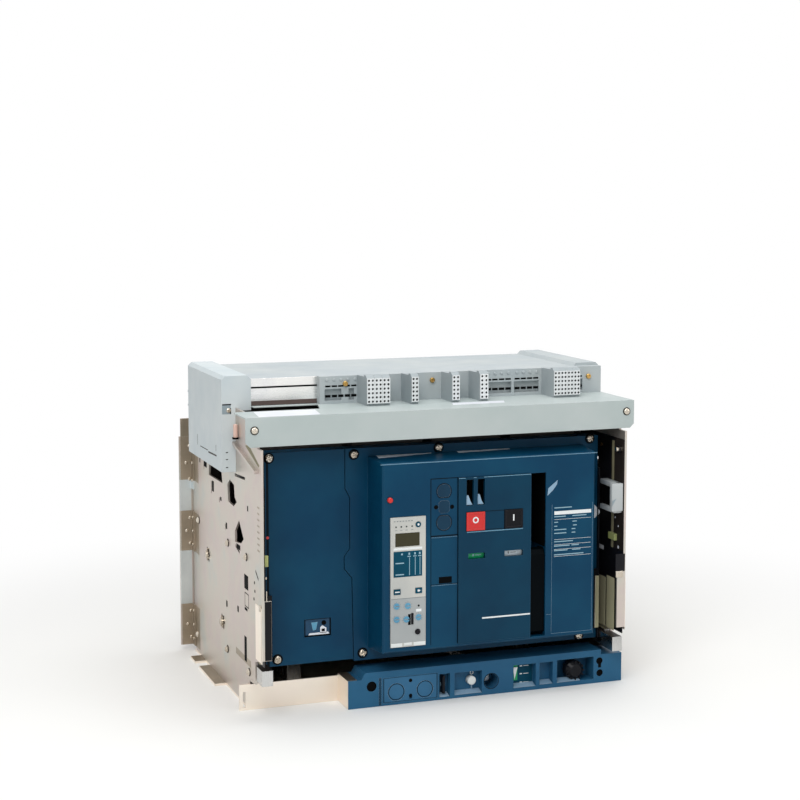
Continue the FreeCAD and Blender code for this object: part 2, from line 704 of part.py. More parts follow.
def turned_piece(name, profile, x, z):
    """A round piece about an axis that runs front to back. The profile gives places and radii."""
    body = new_body(name)
    loop = [(x + radius, y) for y, radius in profile]
    sketch = sketch_on(body, "XY_Plane", z, [loop])
    axis = sketch.addGeometry(Part.LineSegment(FreeCAD.Vector(number(x), -500, 0),
                                               FreeCAD.Vector(number(x), 500, 0)), True)
    pin_point(sketch, axis, 1, x, fixed(-500))
    pin_point(sketch, axis, 2, x, fixed(500))
    body.Tip = revolve(body, sketch, "Axis0")
    return body


def make_release_button():
    floor = behind(d.racking_front + d.bar_pocket)
    return turned_piece("release_button", [
        (floor - d.release_rise, ZERO), (floor - d.release_rise, d.release_radius - 1),
        (floor - d.release_rise + 1, d.release_radius), (floor + 4, d.release_radius), (floor + 4, ZERO),
    ], d.release_x, d.release_z)


def make_crank():
    """The racking crank in its store: a knob on a long rod."""
    head = behind(d.racking_front) + 1
    neck = head + d.crank_knob_length
    tip = head + d.crank_length
    return turned_piece("stored_crank", [
        (head, ZERO), (head, d.crank_knob * 0.6), (head + 5, d.crank_knob), (neck - 5, d.crank_knob),
        (neck, d.crank_rod), (tip, d.crank_rod), (tip, ZERO),
    ], d.crank_x, d.crank_z)


def make_screw():
    """The racking screw: a shaft with a thrust collar and a driving end behind the crank hole."""
    start = behind(d.screw_front)
    collar = behind(d.cross_set + d.cross_sheet) + d.running_gap
    end = behind(d.screw_rear)
    rim = d.screw_radius + d.collar_rim
    collar_end = collar + d.collar_length
    return turned_piece("racking_screw", [
        (start, ZERO), (start, d.screw_radius - 1), (start + 1, d.screw_radius), (collar, d.screw_radius),
        (collar, rim), (collar_end, rim), (collar_end, d.screw_radius), (end, d.screw_radius), (end, ZERO),
    ], d.screw_x, d.screw_z)


node("release_button", make_release_button())
node("stored_crank", make_crank())
node("racking_screw", make_screw())


def make_position_flag():
    left, right, low, high = FLAG_WINDOW
    floor = behind(d.racking_front + d.bar_pocket) - d.running_gap
    plate = box("flag_plate", (left + 2, left + 10), (floor - 2, floor), (low + 8, high - 2))
    pointer = box("flag_pointer", (left + 4, left + 8), (floor - 5, floor - 2), (low + 18, low + 24))
    return fuse("position_flag", plate, pointer)


node("position_flag", make_position_flag())


# Extension rails and their guides
def make_guide():
    body = new_body("rail_guide")
    low = d.rail_low - d.running_gap
    high = d.rail_high + d.running_gap
    web = d.rail_outer + d.running_gap
    lip = d.rail_outer - d.guide_lip_reach
    outline = [
        (-plate_inner, low - d.guide_lip), (-lip, low - d.guide_lip), (-lip, low), (-web, low), (-web, high),
        (-lip, high), (-lip, high + d.guide_lip), (-plate_inner, high + d.guide_lip),
    ]
    end = behind(d.guide_back)
    body.Tip = pad(body, sketch_on(body, "XZ_Plane", -end, [outline]), d.guide_back - d.guide_front)
    return body


left_guide = make_guide()
node("rail_guides", group("rail_guides", left_guide, mirrored("rail_guide_right", left_guide)))


def make_rail():
    """A steel bar with a folded hand-hold at its front end."""
    start = behind(-d.rail_end_front)
    end_back = start + d.rail_end_length
    bar = box("rail_bar", (-d.rail_outer, -d.rail_inner), (end_back - 4, behind(d.rail_back)),
              (d.rail_low, d.rail_high))
    block = box("rail_end", (-d.rail_end_outer, -d.rail_inner), (start, end_back),
                (d.rail_low - d.rail_end_drop, d.rail_high))
    wall = d.rail_end_wall
    foot = d.rail_low - d.rail_end_drop
    hollow = box("rail_end_hollow", (-d.rail_end_outer + wall, -d.rail_inner - wall),
                 (start + wall * 2, end_back + 1), (foot - 1, d.rail_high - wall * 2))
    return fuse("rail_left", bar, cut("rail_hand", block, hollow))


left_rail = make_rail()
node("rail_left", left_rail)
node("rail_right", mirrored("rail_right", left_rail))


# Racking carriage
def make_carriage():
    start = behind(d.carriage_front)
    end = start + d.carriage_length
    middle = start + d.carriage_length / 2
    floor = d.base_sheet + d.running_gap
    top = d.carriage_low + d.carriage_sheet
    pieces = [box("carriage_plate", (-d.carriage_half, d.carriage_half), (start, end), (d.carriage_low, top))]
    pieces.append(box("nut", (d.screw_x - d.nut_width / 2, d.screw_x + d.nut_width / 2),
                      (middle - d.nut_length / 2, middle + d.nut_length / 2), (floor, d.carriage_low)))
    for i, side in enumerate((-1, 1)):
        x = d.runner_x * side
        pieces.append(box("runner_%d" % i, (x - d.runner_width / 2, x + d.runner_width / 2),
                          (start, end), (floor, d.carriage_low)))
        x = d.lug_x * side
        pieces.append(box("lug_%d" % i, (x - d.lug_width / 2, x + d.lug_width / 2),
                          (start + d.lug_set, start + d.lug_set + d.lug_length), (top, top + d.lug_height)))
    bore = rod("nut_bore", "y", (d.screw_x, start, d.screw_z), d.carriage_length,
               d.screw_radius + d.pin_clearance)
    return cut("racking_carriage", fuse("carriage_blank", *pieces), bore)


node("racking_carriage", make_carriage())


# Rear panel: the moulded wall that carries the terminals, with guards round the contact fingers
def row_span(row, half):
    return (row - half, row + half)


def make_rear_panel():
    wall_front = behind(d.panel_front)
    wall_back = wall_front + d.panel_thick
    guard_front = behind(d.guard_front)
    guard_inner = d.guard_half - d.guard_wall
    solid = [box("rear_wall", (-plate_inner, plate_inner), (wall_front, wall_back),
                 (d.base_sheet, d.panel_top))]
    voids = []
    for i, row in enumerate((d.upper_z, d.lower_z)):
        outer = row_span(row, d.guard_height / 2)
        inner = row_span(row, d.guard_height / 2 - d.guard_wall)
        solid.append(box("guard_%d" % i, (-d.guard_half, d.guard_half), (guard_front, wall_front), outer))
        voids.append(box("guard_hollow_%d" % i, (-guard_inner, guard_inner),
                         (guard_front + d.guard_wall, wall_front), inner))
        for j, x in enumerate(poles):
            window = d.window_width / 2
            voids.append(box("guard_window_%d_%d" % (i, j), (x - window, x + window),
                             (guard_front - 1, guard_front + d.guard_wall + 1),
                             row_span(row, d.window_height / 2)))
            stub = d.blade_width / 2 + d.seat_gap
            voids.append(box("stub_hole_%d_%d" % (i, j), (x - stub, x + stub),
                             (wall_front - 1, wall_back + 1), row_span(row, d.blade_thick / 2 + d.seat_gap)))
        reach = d.shutter_stroke + d.shutter_rim + d.shutter_lead
        low = row - d.shutter_lead - d.shutter_rim if i == 0 else row - reach
        high = row + reach if i == 0 else row + d.shutter_lead + d.shutter_rim
        for k, side in enumerate((-1, 1)):
            edge = (d.shutter_half + d.running_gap) * side
            far = (d.shutter_half + d.running_gap + d.shutter_guide) * side
            span = (edge, far) if side > 0 else (far, edge)
            track_front = guard_front - d.shutter_thick - d.running_gap * 2
            track = (track_front, guard_front + d.guard_wall)
            solid.append(box("track_%d_%d" % (i, k), span, track, (low, high)))
    for j in range(5):
        x = (j - 2) * d.pole_pitch
        solid.append(box("barrier_%d" % j, (x - d.barrier_thick / 2, x + d.barrier_thick / 2),
                         (wall_back, wall_back + d.barrier_depth), (d.barrier_bottom, d.barrier_top)))
    return cut("rear_panel", fuse("rear_blank", *solid), *voids)


node("rear_panel", make_rear_panel())


def make_shutter(name, row, up):
    """An insulating plate with four openings, which lie round the blades when they are in."""
    body = new_body(name)
    back = behind(d.guard_front) - d.running_gap
    above = d.shutter_trail if up else d.shutter_lead
    below = d.shutter_lead if up else d.shutter_trail
    outline = rectangle(-d.shutter_half, d.shutter_half,
                        row - below - d.shutter_rim, row + above + d.shutter_rim)
    half = d.window_width / 2
    loops = [outline] + [rectangle(x - half, x + half, row - below, row + above) for x in poles]
    body.Tip = pad(body, sketch_on(body, "XZ_Plane", -back, loops), d.shutter_thick)
    return body


node("upper_shutter", make_shutter("upper_shutter", d.upper_z, True))
node("lower_shutter", make_shutter("lower_shutter", d.lower_z, False))


def make_terminals():
    """Eight flat copper bars, each with two bolt holes at its rear end."""
    bars = []
    wall_back = behind(d.panel_front + d.panel_thick)
    for i, row in enumerate((d.upper_z, d.lower_z)):
        for j, x in enumerate(poles):
            name = "terminal_%d_%d" % (i, j)
            half = d.blade_width / 2
            stub = box(name + "_stub", (x - half, x + half), (behind(d.stub_front), wall_back),
                       row_span(row, d.blade_thick / 2))
            tail = box(name + "_tail", (x - half, x + half), (wall_back, rear),
                       row_span(row, d.terminal_thick / 2))
            holes = []
            for k, side in enumerate((-1, 1)):
                hole_x = x + d.terminal_hole_pitch / 2 * side
                start = (hole_x, rear - d.terminal_inset, row - d.terminal_thick)
                holes.append(rod("%s_hole_%d" % (name, k), "z", start, d.terminal_thick * 2, d.terminal_hole))
            bars.append(cut(name, fuse(name + "_bar", stub, tail), *holes))
    return group("rear_terminals", *bars)


node("rear_terminals", make_terminals())


def make_fingers():
    """Contact fingers: three above and three below each blade, waisted between their two contact pads."""
    start = number(behind(d.finger_front))
    length = number(d.finger_length)
    face = number(d.blade_thick) / 2 + number(d.running_gap)
    thick = number(d.finger_thick)
    waist = number(d.finger_waist)
    profile = [
        (0, 0), (0.2 * length, 0), (0.28 * length, waist), (0.52 * length, waist),
        (0.6 * length, 0), (length, 0), (0.85 * length, thick), (0.15 * length, thick),
    ]
    fingers = []
    for row in (d.upper_z, d.lower_z):
        for side in (-1, 1):
            points = [FreeCAD.Vector(0, start + y, number(row) + side * (face + z)) for y, z in profile]
            blank = Part.Face(Part.makePolygon(points + points[:1])).extrude(
                FreeCAD.Vector(number(d.finger_width), 0, 0))
            for x in poles:
                for k in range(3):
                    place_x = number(x) + (k - 1) * number(d.finger_pitch) - number(d.finger_width) / 2
                    copy = blank.copy()
                    copy.translate(FreeCAD.Vector(place_x, 0, 0))
                    fingers.append(copy)
    thing = new("Part::Feature", "contact_jaws")
    thing.Shape = Part.makeCompound(fingers)
    return thing


node("contact_jaws", make_fingers())


# Breaker: pole case and contacts
def make_pole_case():
    start = behind(d.case_front)
    end = behind(d.case_back)
    solid = [box("case_block", (-d.case_half, d.case_half), (start, end), (d.case_bottom, d.case_top))]
    ear_back = behind(d.carriage_front) + d.lug_set - d.running_gap
    for i, side in enumerate((-1, 1)):
        x = d.lug_x * side
        solid.append(box("ear_%d" % i, (x - d.lug_width / 2, x + d.lug_width / 2),
                         (ear_back - d.ear_length, ear_back), (d.case_bottom - d.ear_drop, d.case_bottom)))
    voids = []
    for j, x in enumerate(poles):
        voids.append(box("chamber_%d" % j, (x - d.chamber_half, x + d.chamber_half),
                         (start + d.case_floor, end - d.case_floor),
                         (d.case_bottom + d.case_floor, d.case_top + 1)))
        blade = d.blade_width / 2 + d.seat_gap
        for i, row in enumerate((d.upper_z, d.lower_z)):
            voids.append(box("blade_hole_%d_%d" % (i, j), (x - blade, x + blade),
                             (end - d.case_floor - 1, end + 1),
                             row_span(row, d.blade_thick / 2 + d.seat_gap)))
    voids.append(rod("shaft_bore", "x", (-d.shaft_half - d.running_gap, behind(d.shaft_y), d.shaft_z),
                     d.shaft_half * 2 + d.running_gap * 2, d.shaft_radius + d.pin_clearance))
    slot_left = d.lever_x - d.lever_side_gap
    voids.append(box("lever_slot", (slot_left, slot_left + d.lever_width + d.lever_side_gap * 2),
                     (start - 1, start + d.case_floor + 1), (d.lever_slot_bottom, d.lever_slot_top)))
    return cut("pole_case", fuse("case_blank", *solid), *voids)


node("pole_case", make_pole_case())


def make_blades():
    """Main blades. The upper ones carry the fixed contacts inside the chambers."""
    blades = []
    for i, row in enumerate((d.upper_z, d.lower_z)):
        for j, x in enumerate(poles):
            body = new_body("blade_%d_%d" % (i, j))
            half = d.blade_width / 2
            root = behind(d.blade_root if i == 0 else d.lower_blade_root)
            tip = behind(d.blade_tip)
            shoulder = tip - d.blade_chamfer
            nose = half - d.blade_chamfer
            outline = [
                (x - half, root), (x + half, root), (x + half, shoulder), (x + nose, tip),
                (x - nose, tip), (x - half, shoulder),
            ]
            pad(body, sketch_on(body, "XY_Plane", row - d.blade_thick / 2, [outline]), d.blade_thick)
            if i == 0:
                contact = box("fixed_contact_%d" % j, (x - d.pad_half, x + d.pad_half),
                              (root - d.contact_pad, root), (row - d.pad_drop, row + d.blade_thick / 2))
                blades.append(fuse("upper_blade_%d" % j, body, contact))
            else:
                blades.append(body)
    return group("main_blades", *blades)


node("main_blades", make_blades())


CHUTE_SLOTS = 7


def make_chutes():
    """Arc chutes: boxes with a row of slots between their splitter plates."""
    chutes = []
    for j, x in enumerate(poles):
        name = "chute_%d" % j
        top = d.case_top + d.chute_height
        block = box(name + "_block", (x - d.chute_half, x + d.chute_half),
                    (behind(d.chute_front), behind(d.chute_back)), (d.case_top - d.chute_drop, top))
        rim = box(name + "_rim", (x - d.chute_half - d.chute_rim, x + d.chute_half + d.chute_rim),
                  (behind(d.chute_front) - d.chute_rim, behind(d.chute_back) + d.chute_rim),
                  (d.case_top, d.case_top + d.chute_flange))
        slots = []
        for k in range(CHUTE_SLOTS):
            y = behind(d.chute_front + (k + 1) * d.slot_pitch)
            slots.append(box("%s_slot_%d" % (name, k), (x - d.slot_half, x + d.slot_half),
                             (y - d.slot_width / 2, y + d.slot_width / 2), (top - d.slot_depth, top + 1)))
        chutes.append(cut(name, fuse(name + "_shell", block, rim), *slots))
    return group("arc_chutes", *chutes)


node("arc_chutes", make_chutes())


def make_pole_shaft():
    middle = behind(d.shaft_y)
    bar = rod("shaft_bar", "x", (-d.shaft_half, middle, d.shaft_z), d.shaft_half * 2, d.shaft_radius)
    lever = box("shaft_lever", (d.lever_x, d.lever_x + d.lever_width), (behind(d.lever_front), middle),
                row_span(d.shaft_z, d.lever_height / 2))
    return fuse("pole_shaft", bar, lever)


def closed_lean():
    """The angle from upright at which an arm's tip is a running gap short of its fixed contact."""
    reach = number(d.blade_root - d.contact_pad - d.shaft_y - d.running_gap)
    deep = number(d.arm_depth) / 2 + number(d.tip_depth)
    long = number(d.arm_length)
    return math.degrees(math.asin(reach / math.hypot(deep, long)) - math.atan2(deep, long))


def make_moving_contacts():
    """Four arms on the pole shaft, drawn in the open position."""
    arms = []
    for j, x in enumerate(poles):
        half = d.arm_width / 2
        hub = rod("hub_%d" % j, "x", (-half, ZERO, ZERO), d.arm_width, d.hub_radius)
        back = d.arm_depth / 2
        blade = box("arm_blade_%d" % j, (-half, half), (-back, back), (ZERO, d.arm_length))
        tip = box("arm_tip_%d" % j, (-half, half), (back, back + d.tip_depth),
                  (d.arm_length - d.tip_length, d.arm_length))
        bore = rod("hub_bore_%d" % j, "x", (-half - 1, ZERO, ZERO), d.arm_width + 2,
                   d.shaft_radius + d.pin_clearance)
        arm = cut("arm_%d" % j, fuse("arm_blank_%d" % j, hub, blade, tip), bore)
        lean = FreeCAD.Rotation(FreeCAD.Vector(1, 0, 0), number(d.open_angle) - closed_lean())
        place(arm, x, behind(d.shaft_y), d.shaft_z, lean)
        arms.append(arm)
    return group("moving_contacts", *arms)


node("pole_shaft", make_pole_shaft())
node("moving_contacts", make_moving_contacts())


# Breaker side plates and grips
def make_wing():
    """A steel side plate with a folded front edge and the skate that runs on the extension rail."""
    inner = d.cover_half + d.running_gap
    outer = inner + d.wing_sheet
    main = box("wing_sheet_metal", (-outer, -inner), (behind(d.wing_front), behind(d.case_back)),
               (d.wing_low, d.case_top))
    fold_front = behind(d.wing_front)
    fold = box("wing_fold", (-inner, -d.wing_fold), (fold_front, fold_front + d.wing_sheet),
               (d.wing_fold_low, d.wing_fold_high))
    skate_start = behind(d.skate_front)
    skate = box("skate", (-d.skate_reach, -outer), (skate_start, skate_start + d.skate_length),
                (d.rail_high + d.running_gap, d.skate_top))
    return fuse("wing_left", main, fold, skate)


def make_grip():
    """A plastic hand grip: a C-shaped shell in front of the side plate."""
    start = behind(-d.grip_front)
    end = behind(d.wing_front) - d.running_gap
    block = box("grip_block", (-d.grip_outer, -d.grip_inner), (start, end), (d.grip_low, d.grip_high))
    hollow = box("grip_hollow", (-d.grip_outer + d.grip_wall, -d.grip_inner + 1),
                 (start + d.grip_wall * 2, end + 1), (d.grip_low + d.grip_wall, d.grip_high - d.grip_wall))
    return cut("grip_left", block, hollow)


left_wing = make_wing()
node("breaker_side_plates", group("breaker_side_plates", left_wing, mirrored("wing_right", left_wing)))
left_grip = make_grip()
node("lifting_grips", group("lifting_grips", left_grip, mirrored("grip_right", left_grip)))


# Covers
# The waist of the seam between the two covers, and the screws on their flanges.
SEAM_WAIST = [(130, 292), (123.4, 279.4), (123.4, 211), (131.3, 201), (131.3, 184), (120.6, 171)]
COVER_SCREWS = [(-234, 338), (-224, 70), (-117.5, 337), (-106, 68), (2.5, 340), (229.6, 340), (213.7, 65)]


def seam_line(shift, low):
    """The seam from top to bottom, moved across by half its gap."""
    points = [(-d.seam_top_x + shift, d.cover_high)]
    points += [(fixed(-x) + shift, z) for x, z in SEAM_WAIST]
    return points + [(-d.seam_bottom_x + shift, low)]


def make_pole_cover():
    body = new_body("fourth_pole_cover")
    depth = d.case_front + d.bar_set - d.flange_set
    back = behind(d.case_front)
    outline = [(-d.cover_half, d.pole_cover_low), (-d.cover_half, d.cover_high)]
    outline += seam_line(-d.seam_gap / 2, d.pole_cover_low)
    pad(body, sketch_on(body, "XZ_Plane", -back, [outline]), depth)
    inner = rectangle(-d.cover_half + d.shell, -d.seam_top_x - d.shell * 2, d.pole_cover_low + d.shell,
                      d.cover_high - d.shell)
    offset = -(flange_face + d.shell)
    pocket(body, sketch_on(body, "XZ_Plane", offset, [inner]), depth)
    window = rectangle(-d.pole_window_left, -d.pole_window_right, d.pole_window_low, d.pole_window_high)
    body.Tip = pocket(body, sketch_on(body, "XZ_Plane", -flange_face, [window]), d.window_recess)
    return body


node("fourth_pole_cover", make_pole_cover())


def trough_span():
    wall = d.trough_wall
    return rectangle(d.recess_left - wall, d.recess_right + wall, d.recess_low - wall, d.recess_high + wall)


def make_front_cover():
    """The main moulded cover: a flange, a proud box with drafted sides, and its openings."""
    body = new_body("front_cover")
    depth = d.case_front + d.bar_set - d.flange_set
    back = behind(d.case_front)
    face = front + d.cover_set
    seam = seam_line(d.seam_gap / 2, d.cover_low)
    outline = seam[::-1] + [(d.cover_half, d.cover_high), (d.cover_half, d.cover_low)]
    pad(body, sketch_on(body, "XZ_Plane", -back, [outline]), depth)
    proud = rectangle(-d.proud_left, d.proud_right, d.proud_low, d.proud_high)
    rise = d.flange_set - d.cover_set
    block = pad(body, sketch_on(body, "XZ_Plane", -flange_face, [proud]), rise, d.draft)

    def on_front(a, b):
        return same(a.y, number(face)) and same(b.y, number(face))

    soften(body, block, "Chamfer", d.front_bevel, on_front)
    inset = d.shell * 2 + d.front_bevel / 2
    hollow = rectangle(-d.proud_left + inset, d.proud_right - inset,
                       d.proud_low + inset, d.proud_high - inset)
    pocket(body, sketch_on(body, "XZ_Plane", -(face + d.shell), [hollow]), rise + depth)
    skirt = rectangle(-d.seam_bottom_x + d.shell * 2, d.cover_half - d.shell, d.cover_low + d.shell,
                      d.cover_high - d.shell)
    pocket(body, sketch_on(body, "XZ_Plane", -(flange_face + d.shell), [skirt]), depth)
    pad(body, sketch_on(body, "XZ_Plane", -(face + d.recess_depth + d.trough_wall), [trough_span()]),
        d.recess_depth + d.trough_wall - d.shell)
    recess = rectangle(d.recess_left, d.recess_right, d.recess_low, d.recess_high)
    pocket(body, sketch_on(body, "XZ_Plane", -face, [recess]), d.recess_depth)
    gap = d.running_gap
    openings = [
        rectangle(-d.trip_left - gap, -d.trip_right + gap, d.trip_low - gap, d.trip_high + gap),
        rectangle(-d.lock_left - gap, d.lock_right + gap, d.lock_low - gap, d.lock_high + gap),
        rectangle(d.control_left - gap, d.control_right + d.seat_gap,
                  d.control_low - gap, d.control_high + gap),
    ]
    hole = (-d.reset_x, d.reset_z, d.reset_radius + d.slide_gap)
    pocket(body, sketch_on(body, "XZ_Plane", -face, openings, [hole]), d.shell + 1)
    counter = rectangle(-d.counter_left, d.counter_right, d.counter_low, d.counter_high)
    pocket(body, sketch_on(body, "XZ_Plane", -face, [counter]), d.shell / 2)
    # Holes for the charging handle's pin through both walls of its trough.
    pin_hole = (behind(-d.handle_pivot_ahead), d.handle_pivot_z, d.pivot_radius + d.pin_clearance)
    right = d.recess_right + d.trough_wall + 1
    left = d.recess_left - d.trough_wall - 1
    body.Tip = pocket(body, sketch_on(body, "YZ_Plane", right, [], [pin_hole]), right - left)
    return body


node("front_cover", make_front_cover())


HEAD_SIDES = 12


def make_screw_heads(name, places, across_front, head, radius):
    """Plain heads that sit on a front-facing plane."""
    heads = []
    for i, (x, z) in enumerate(places):
        blank = new("Part::Prism", "%s_%d" % (name, i))
        blank.Polygon = HEAD_SIDES
        bind(blank, "Circumradius", radius)
        bind(blank, "Height", head)
        place(blank, fixed(x), across_front - head, fixed(z), TURN["y"])
        heads.append(blank)
    return heads


node("cover_screws", group("cover_screws", *make_screw_heads(
    "cover_screw", COVER_SCREWS, flange_face, d.cover_screw_head, d.cover_screw)))


# Mechanism behind the cover
def make_mechanism():
    """Two steel cheeks with the rod of the closing spring and the spindle of the flags."""
    start = behind(d.mech_front)
    end = behind(d.case_front)
    left = (d.mech_left, d.mech_left + d.mech_sheet)
    right = (d.mech_right, d.mech_right + d.mech_sheet)
    cheeks = [box("cheek_left", left, (start, end), (d.mech_low, d.mech_high)),
              box("cheek_right", right, (start, end), (d.mech_low, d.mech_high))]
    spring_rod = rod("spring_rod", "x", (d.mech_left + d.mech_sheet, behind(d.spring_y), d.spring_z),
                     d.mech_right - d.mech_left - d.mech_sheet, d.spring_rod)
    spindle = rod("flag_spindle", "x", (d.mech_left + d.mech_sheet, flag_axis_y(), d.flag_z),
                  d.spindle_end - d.mech_left - d.mech_sheet, d.spindle_radius)
    return fuse("mechanism_frame", spring_rod, spindle, *cheeks)


def panel_back():
    return front + d.cover_set + d.shell


def flag_axis_y():
    return panel_back() + d.slide_gap + d.drum_radius




def make_spring():
    """The closing spring: the sleeve of space that its coil fills."""
    length = d.spring_right - d.spring_left
    start = (d.spring_left, behind(d.spring_y), d.spring_z)
    coil = rod("spring_coil", "x", start, length, d.spring_radius)
    return cut("closing_spring", coil, rod("spring_bore", "x", start, length, d.spring_rod + d.running_gap))


node("mechanism_frame", make_mechanism())
node("closing_spring", make_spring())


def make_flag(name, left, right):
    """A flag drum: a bored cylinder with a flat that stays out of sight."""
    length = right - left
    middle = flag_axis_y()
    drum = rod(name + "_drum", "x", (left, middle, d.flag_z), length, d.drum_radius)
    bore = rod(name + "_bore", "x", (left - 1, middle, d.flag_z), length + 2,
               d.spindle_radius + d.pin_clearance)
    flat = box(name + "_flat", (left - 1, right + 1),
               (middle + d.drum_radius / 2, middle + d.drum_radius + 1),
               row_span(d.flag_z, d.drum_radius))
    return cut(name, drum, bore, flat)


node("contact_flag", make_flag("contact_flag", d.contact_flag_left, d.contact_flag_right))
node("charge_flag", make_flag("charge_flag", d.charge_flag_left, d.charge_flag_right))


# Control panel, buttons and lock cover
def make_control_panel():
    body = new_body("control_panel")
    back = panel_back()
    face = front + d.panel_set
    gap = d.running_gap
    outline = rectangle(d.control_left, d.control_right, d.control_low, d.control_high)
    windows = [
        rectangle(d.off_left - gap, d.off_right + gap, d.button_low - gap, d.button_high + gap),
        rectangle(d.on_left - gap, d.on_right + gap, d.button_low - gap, d.button_high + gap),
        rectangle(d.contact_flag_left, d.contact_flag_right, d.flag_low, d.flag_high),
        rectangle(d.charge_flag_left, d.charge_flag_right, d.flag_low, d.flag_high),
    ]
    for left in (d.slot_one_left, d.slot_two_left):
        windows.append(rectangle(left, left + d.lock_slot_width, d.slot_low, d.slot_high))
    body.Tip = pad(body, sketch_on(body, "XZ_Plane", -back, [outline] + windows), back - face)
    return body


def make_button(name, left, right):
    """A push button with a dished face."""
    body = new_body(name)
    back = front + d.button_depth
    outline = rectangle(left, right, d.button_low, d.button_high)
    pad(body, sketch_on(body, "XZ_Plane", -back, [outline]), d.button_depth)
    rim = d.button_rim
    dish = rectangle(left + rim, right - rim, d.button_low + rim, d.button_high - rim)
    body.Tip = pocket(body, sketch_on(body, "XZ_Plane", -front, [dish]), d.button_dish)
    return body


node("control_panel", make_control_panel())
node("off_button", make_button("off_button", d.off_left, d.off_right))
node("on_button", make_button("on_button", d.on_left, d.on_right))


LOCK_COVER_SCREWS = [-20.6, 1.9]


def make_lock_cover():
    body = new_body("key_lock_cover")
    face = front + d.cover_set
    back = face + d.lock_sheet
    middle = (d.lock_low + d.lock_high) / 2
    holes = [(fixed(x), middle, d.lock_hole) for x in LOCK_COVER_SCREWS]
    outline = rectangle(-d.lock_left, d.lock_right, d.lock_low, d.lock_high)
    body.Tip = pad(body, sketch_on(body, "XZ_Plane", -back, [outline], holes), d.lock_sheet)
    return body


node("key_lock_cover", make_lock_cover())


def make_reset():
    start = front + d.panel_set
    rim = d.reset_radius
    return turned_piece("reset_button", [
        (start, ZERO), (start, rim - 1), (start + 1, rim), (start + d.button_depth, rim),
        (start + d.button_depth, ZERO),
    ], -d.reset_x, d.reset_z)


node("reset_button", make_reset())


# Charging handle: swings down out of its recess about a pin through the trough walls
def make_handle():
    body = new_body("charging_handle")
    left = d.recess_left + d.handle_side_gap
    width = d.recess_right - d.recess_left - d.handle_side_gap * 2
    top = d.handle_top
    profile = [
        (behind(-8), d.recess_low + 7), (behind(-9), top - 8), (behind(-6), top - 2), (behind(-2), top),
        (behind(8), top), (behind(13), top - 8), (behind(24), top - 50), (behind(22), d.recess_low + 26),
        (behind(6), d.recess_low + 5), (behind(-5), d.recess_low + 4),
    ]
    pad(body, sketch_on(body, "YZ_Plane", left, [profile]), width)
    finger = rectangle(behind(0), behind(20), top - d.finger_pocket, top + 1)
    sketch = sketch_on(body, "YZ_Plane", left + width - d.finger_wall, [finger])
    pocket(body, sketch, width - d.finger_wall * 2)
    across = d.recess_right - d.recess_left + d.trough_wall * 2
    pin = [(behind(-d.handle_pivot_ahead), d.handle_pivot_z, d.pivot_radius)]
    body.Tip = pad(body, sketch_on(body, "YZ_Plane", d.recess_left - d.trough_wall, [], pin), across)
    return body


node("charging_handle", make_handle())


# Trip unit
DIALS = [(-76.2, 140.9), (-60.6, 140.4), (-76.2, 123.2), (-62.6, 122.5), (-45.6, 124.1)]
KEYS = {"menu_key_left": -75.5, "menu_key_right": -45.3}
TEST_KEY = (-46, 248.3)


def trip_front():
    return front + d.trip_face


def make_trip_unit():
    body = new_body("trip_unit")
    face = trip_front()
    back = face + d.trip_depth
    outline = rectangle(-d.trip_left, -d.trip_right, d.trip_low, d.trip_high)
    pad(body, sketch_on(body, "XZ_Plane", -back, [outline]), d.trip_depth)

    def sink(loops, circles, depth):
        return pocket(body, sketch_on(body, "XZ_Plane", -face, loops, circles), depth)

    sink([rectangle(-d.screen_left, -d.screen_right, d.screen_low, d.screen_high)], [], d.screen_thick)
    gap = d.running_gap
    keyways = []
    for x in KEYS.values():
        keyways.append(rectangle(fixed(x) - d.key_width / 2 - gap, fixed(x) + d.key_width / 2 + gap,
                                 d.key_z - d.key_height / 2 - gap, d.key_z + d.key_height / 2 + gap))
    sink(keyways, [(fixed(TEST_KEY[0]), fixed(TEST_KEY[1]), d.test_radius + gap)], d.key_depth)
    sink([], [(fixed(x), fixed(z), d.dial_radius + gap) for x, z in DIALS], d.dial_depth)
    sink([rectangle(-d.plug_left, -d.plug_right, d.plug_low, d.plug_high)], [], d.plug_depth)
    groove = rectangle(-d.trip_left - 1, -d.trip_right + 1, d.trip_joint_z, d.trip_joint_z + d.face_rise)
    body.Tip = sink([groove], [], d.face_rise)
    return body


node("trip_unit", make_trip_unit())
node("trip_screen", box("trip_screen", (-d.screen_left + d.seat_gap, -d.screen_right - d.seat_gap),
                        (trip_front() + d.seat_gap, trip_front() + d.screen_thick),
                        (d.screen_low + d.seat_gap, d.screen_high - d.seat_gap)))
node("rating_plug", box("rating_plug", (-d.plug_left + d.seat_gap, -d.plug_right - d.seat_gap),
                        (trip_front() - d.face_rise, trip_front() + d.plug_depth),
                        (d.plug_low + d.seat_gap, d.plug_high - d.seat_gap)))

key_span = (trip_front() - d.face_rise, trip_front() + d.key_depth - d.key_stroke - d.running_gap)
for key, key_x in KEYS.items():
    node(key, box(key, (fixed(key_x) - d.key_width / 2, fixed(key_x) + d.key_width / 2), key_span,
                  (d.key_z - d.key_height / 2, d.key_z + d.key_height / 2)))
node("test_key", rod("test_key", "y", (fixed(TEST_KEY[0]), key_span[0], fixed(TEST_KEY[1])),
                     key_span[1] - key_span[0], d.test_radius))


def make_dial(index, x, z):
    """A setting dial with a screwdriver slot."""
    name = "dial_%d" % (index + 1)
    start = trip_front() - d.face_rise
    length = d.dial_depth + d.face_rise - d.running_gap
    knob = rod(name + "_knob", "y", (x, start, z), length, d.dial_radius)
    slot = box(name + "_slot", (x - d.dial_radius * 0.7, x + d.dial_radius), (start - 1, start + d.face_rise),
               (z - d.dial_slot / 2, z + d.dial_slot / 2))
    return cut(name, knob, slot)


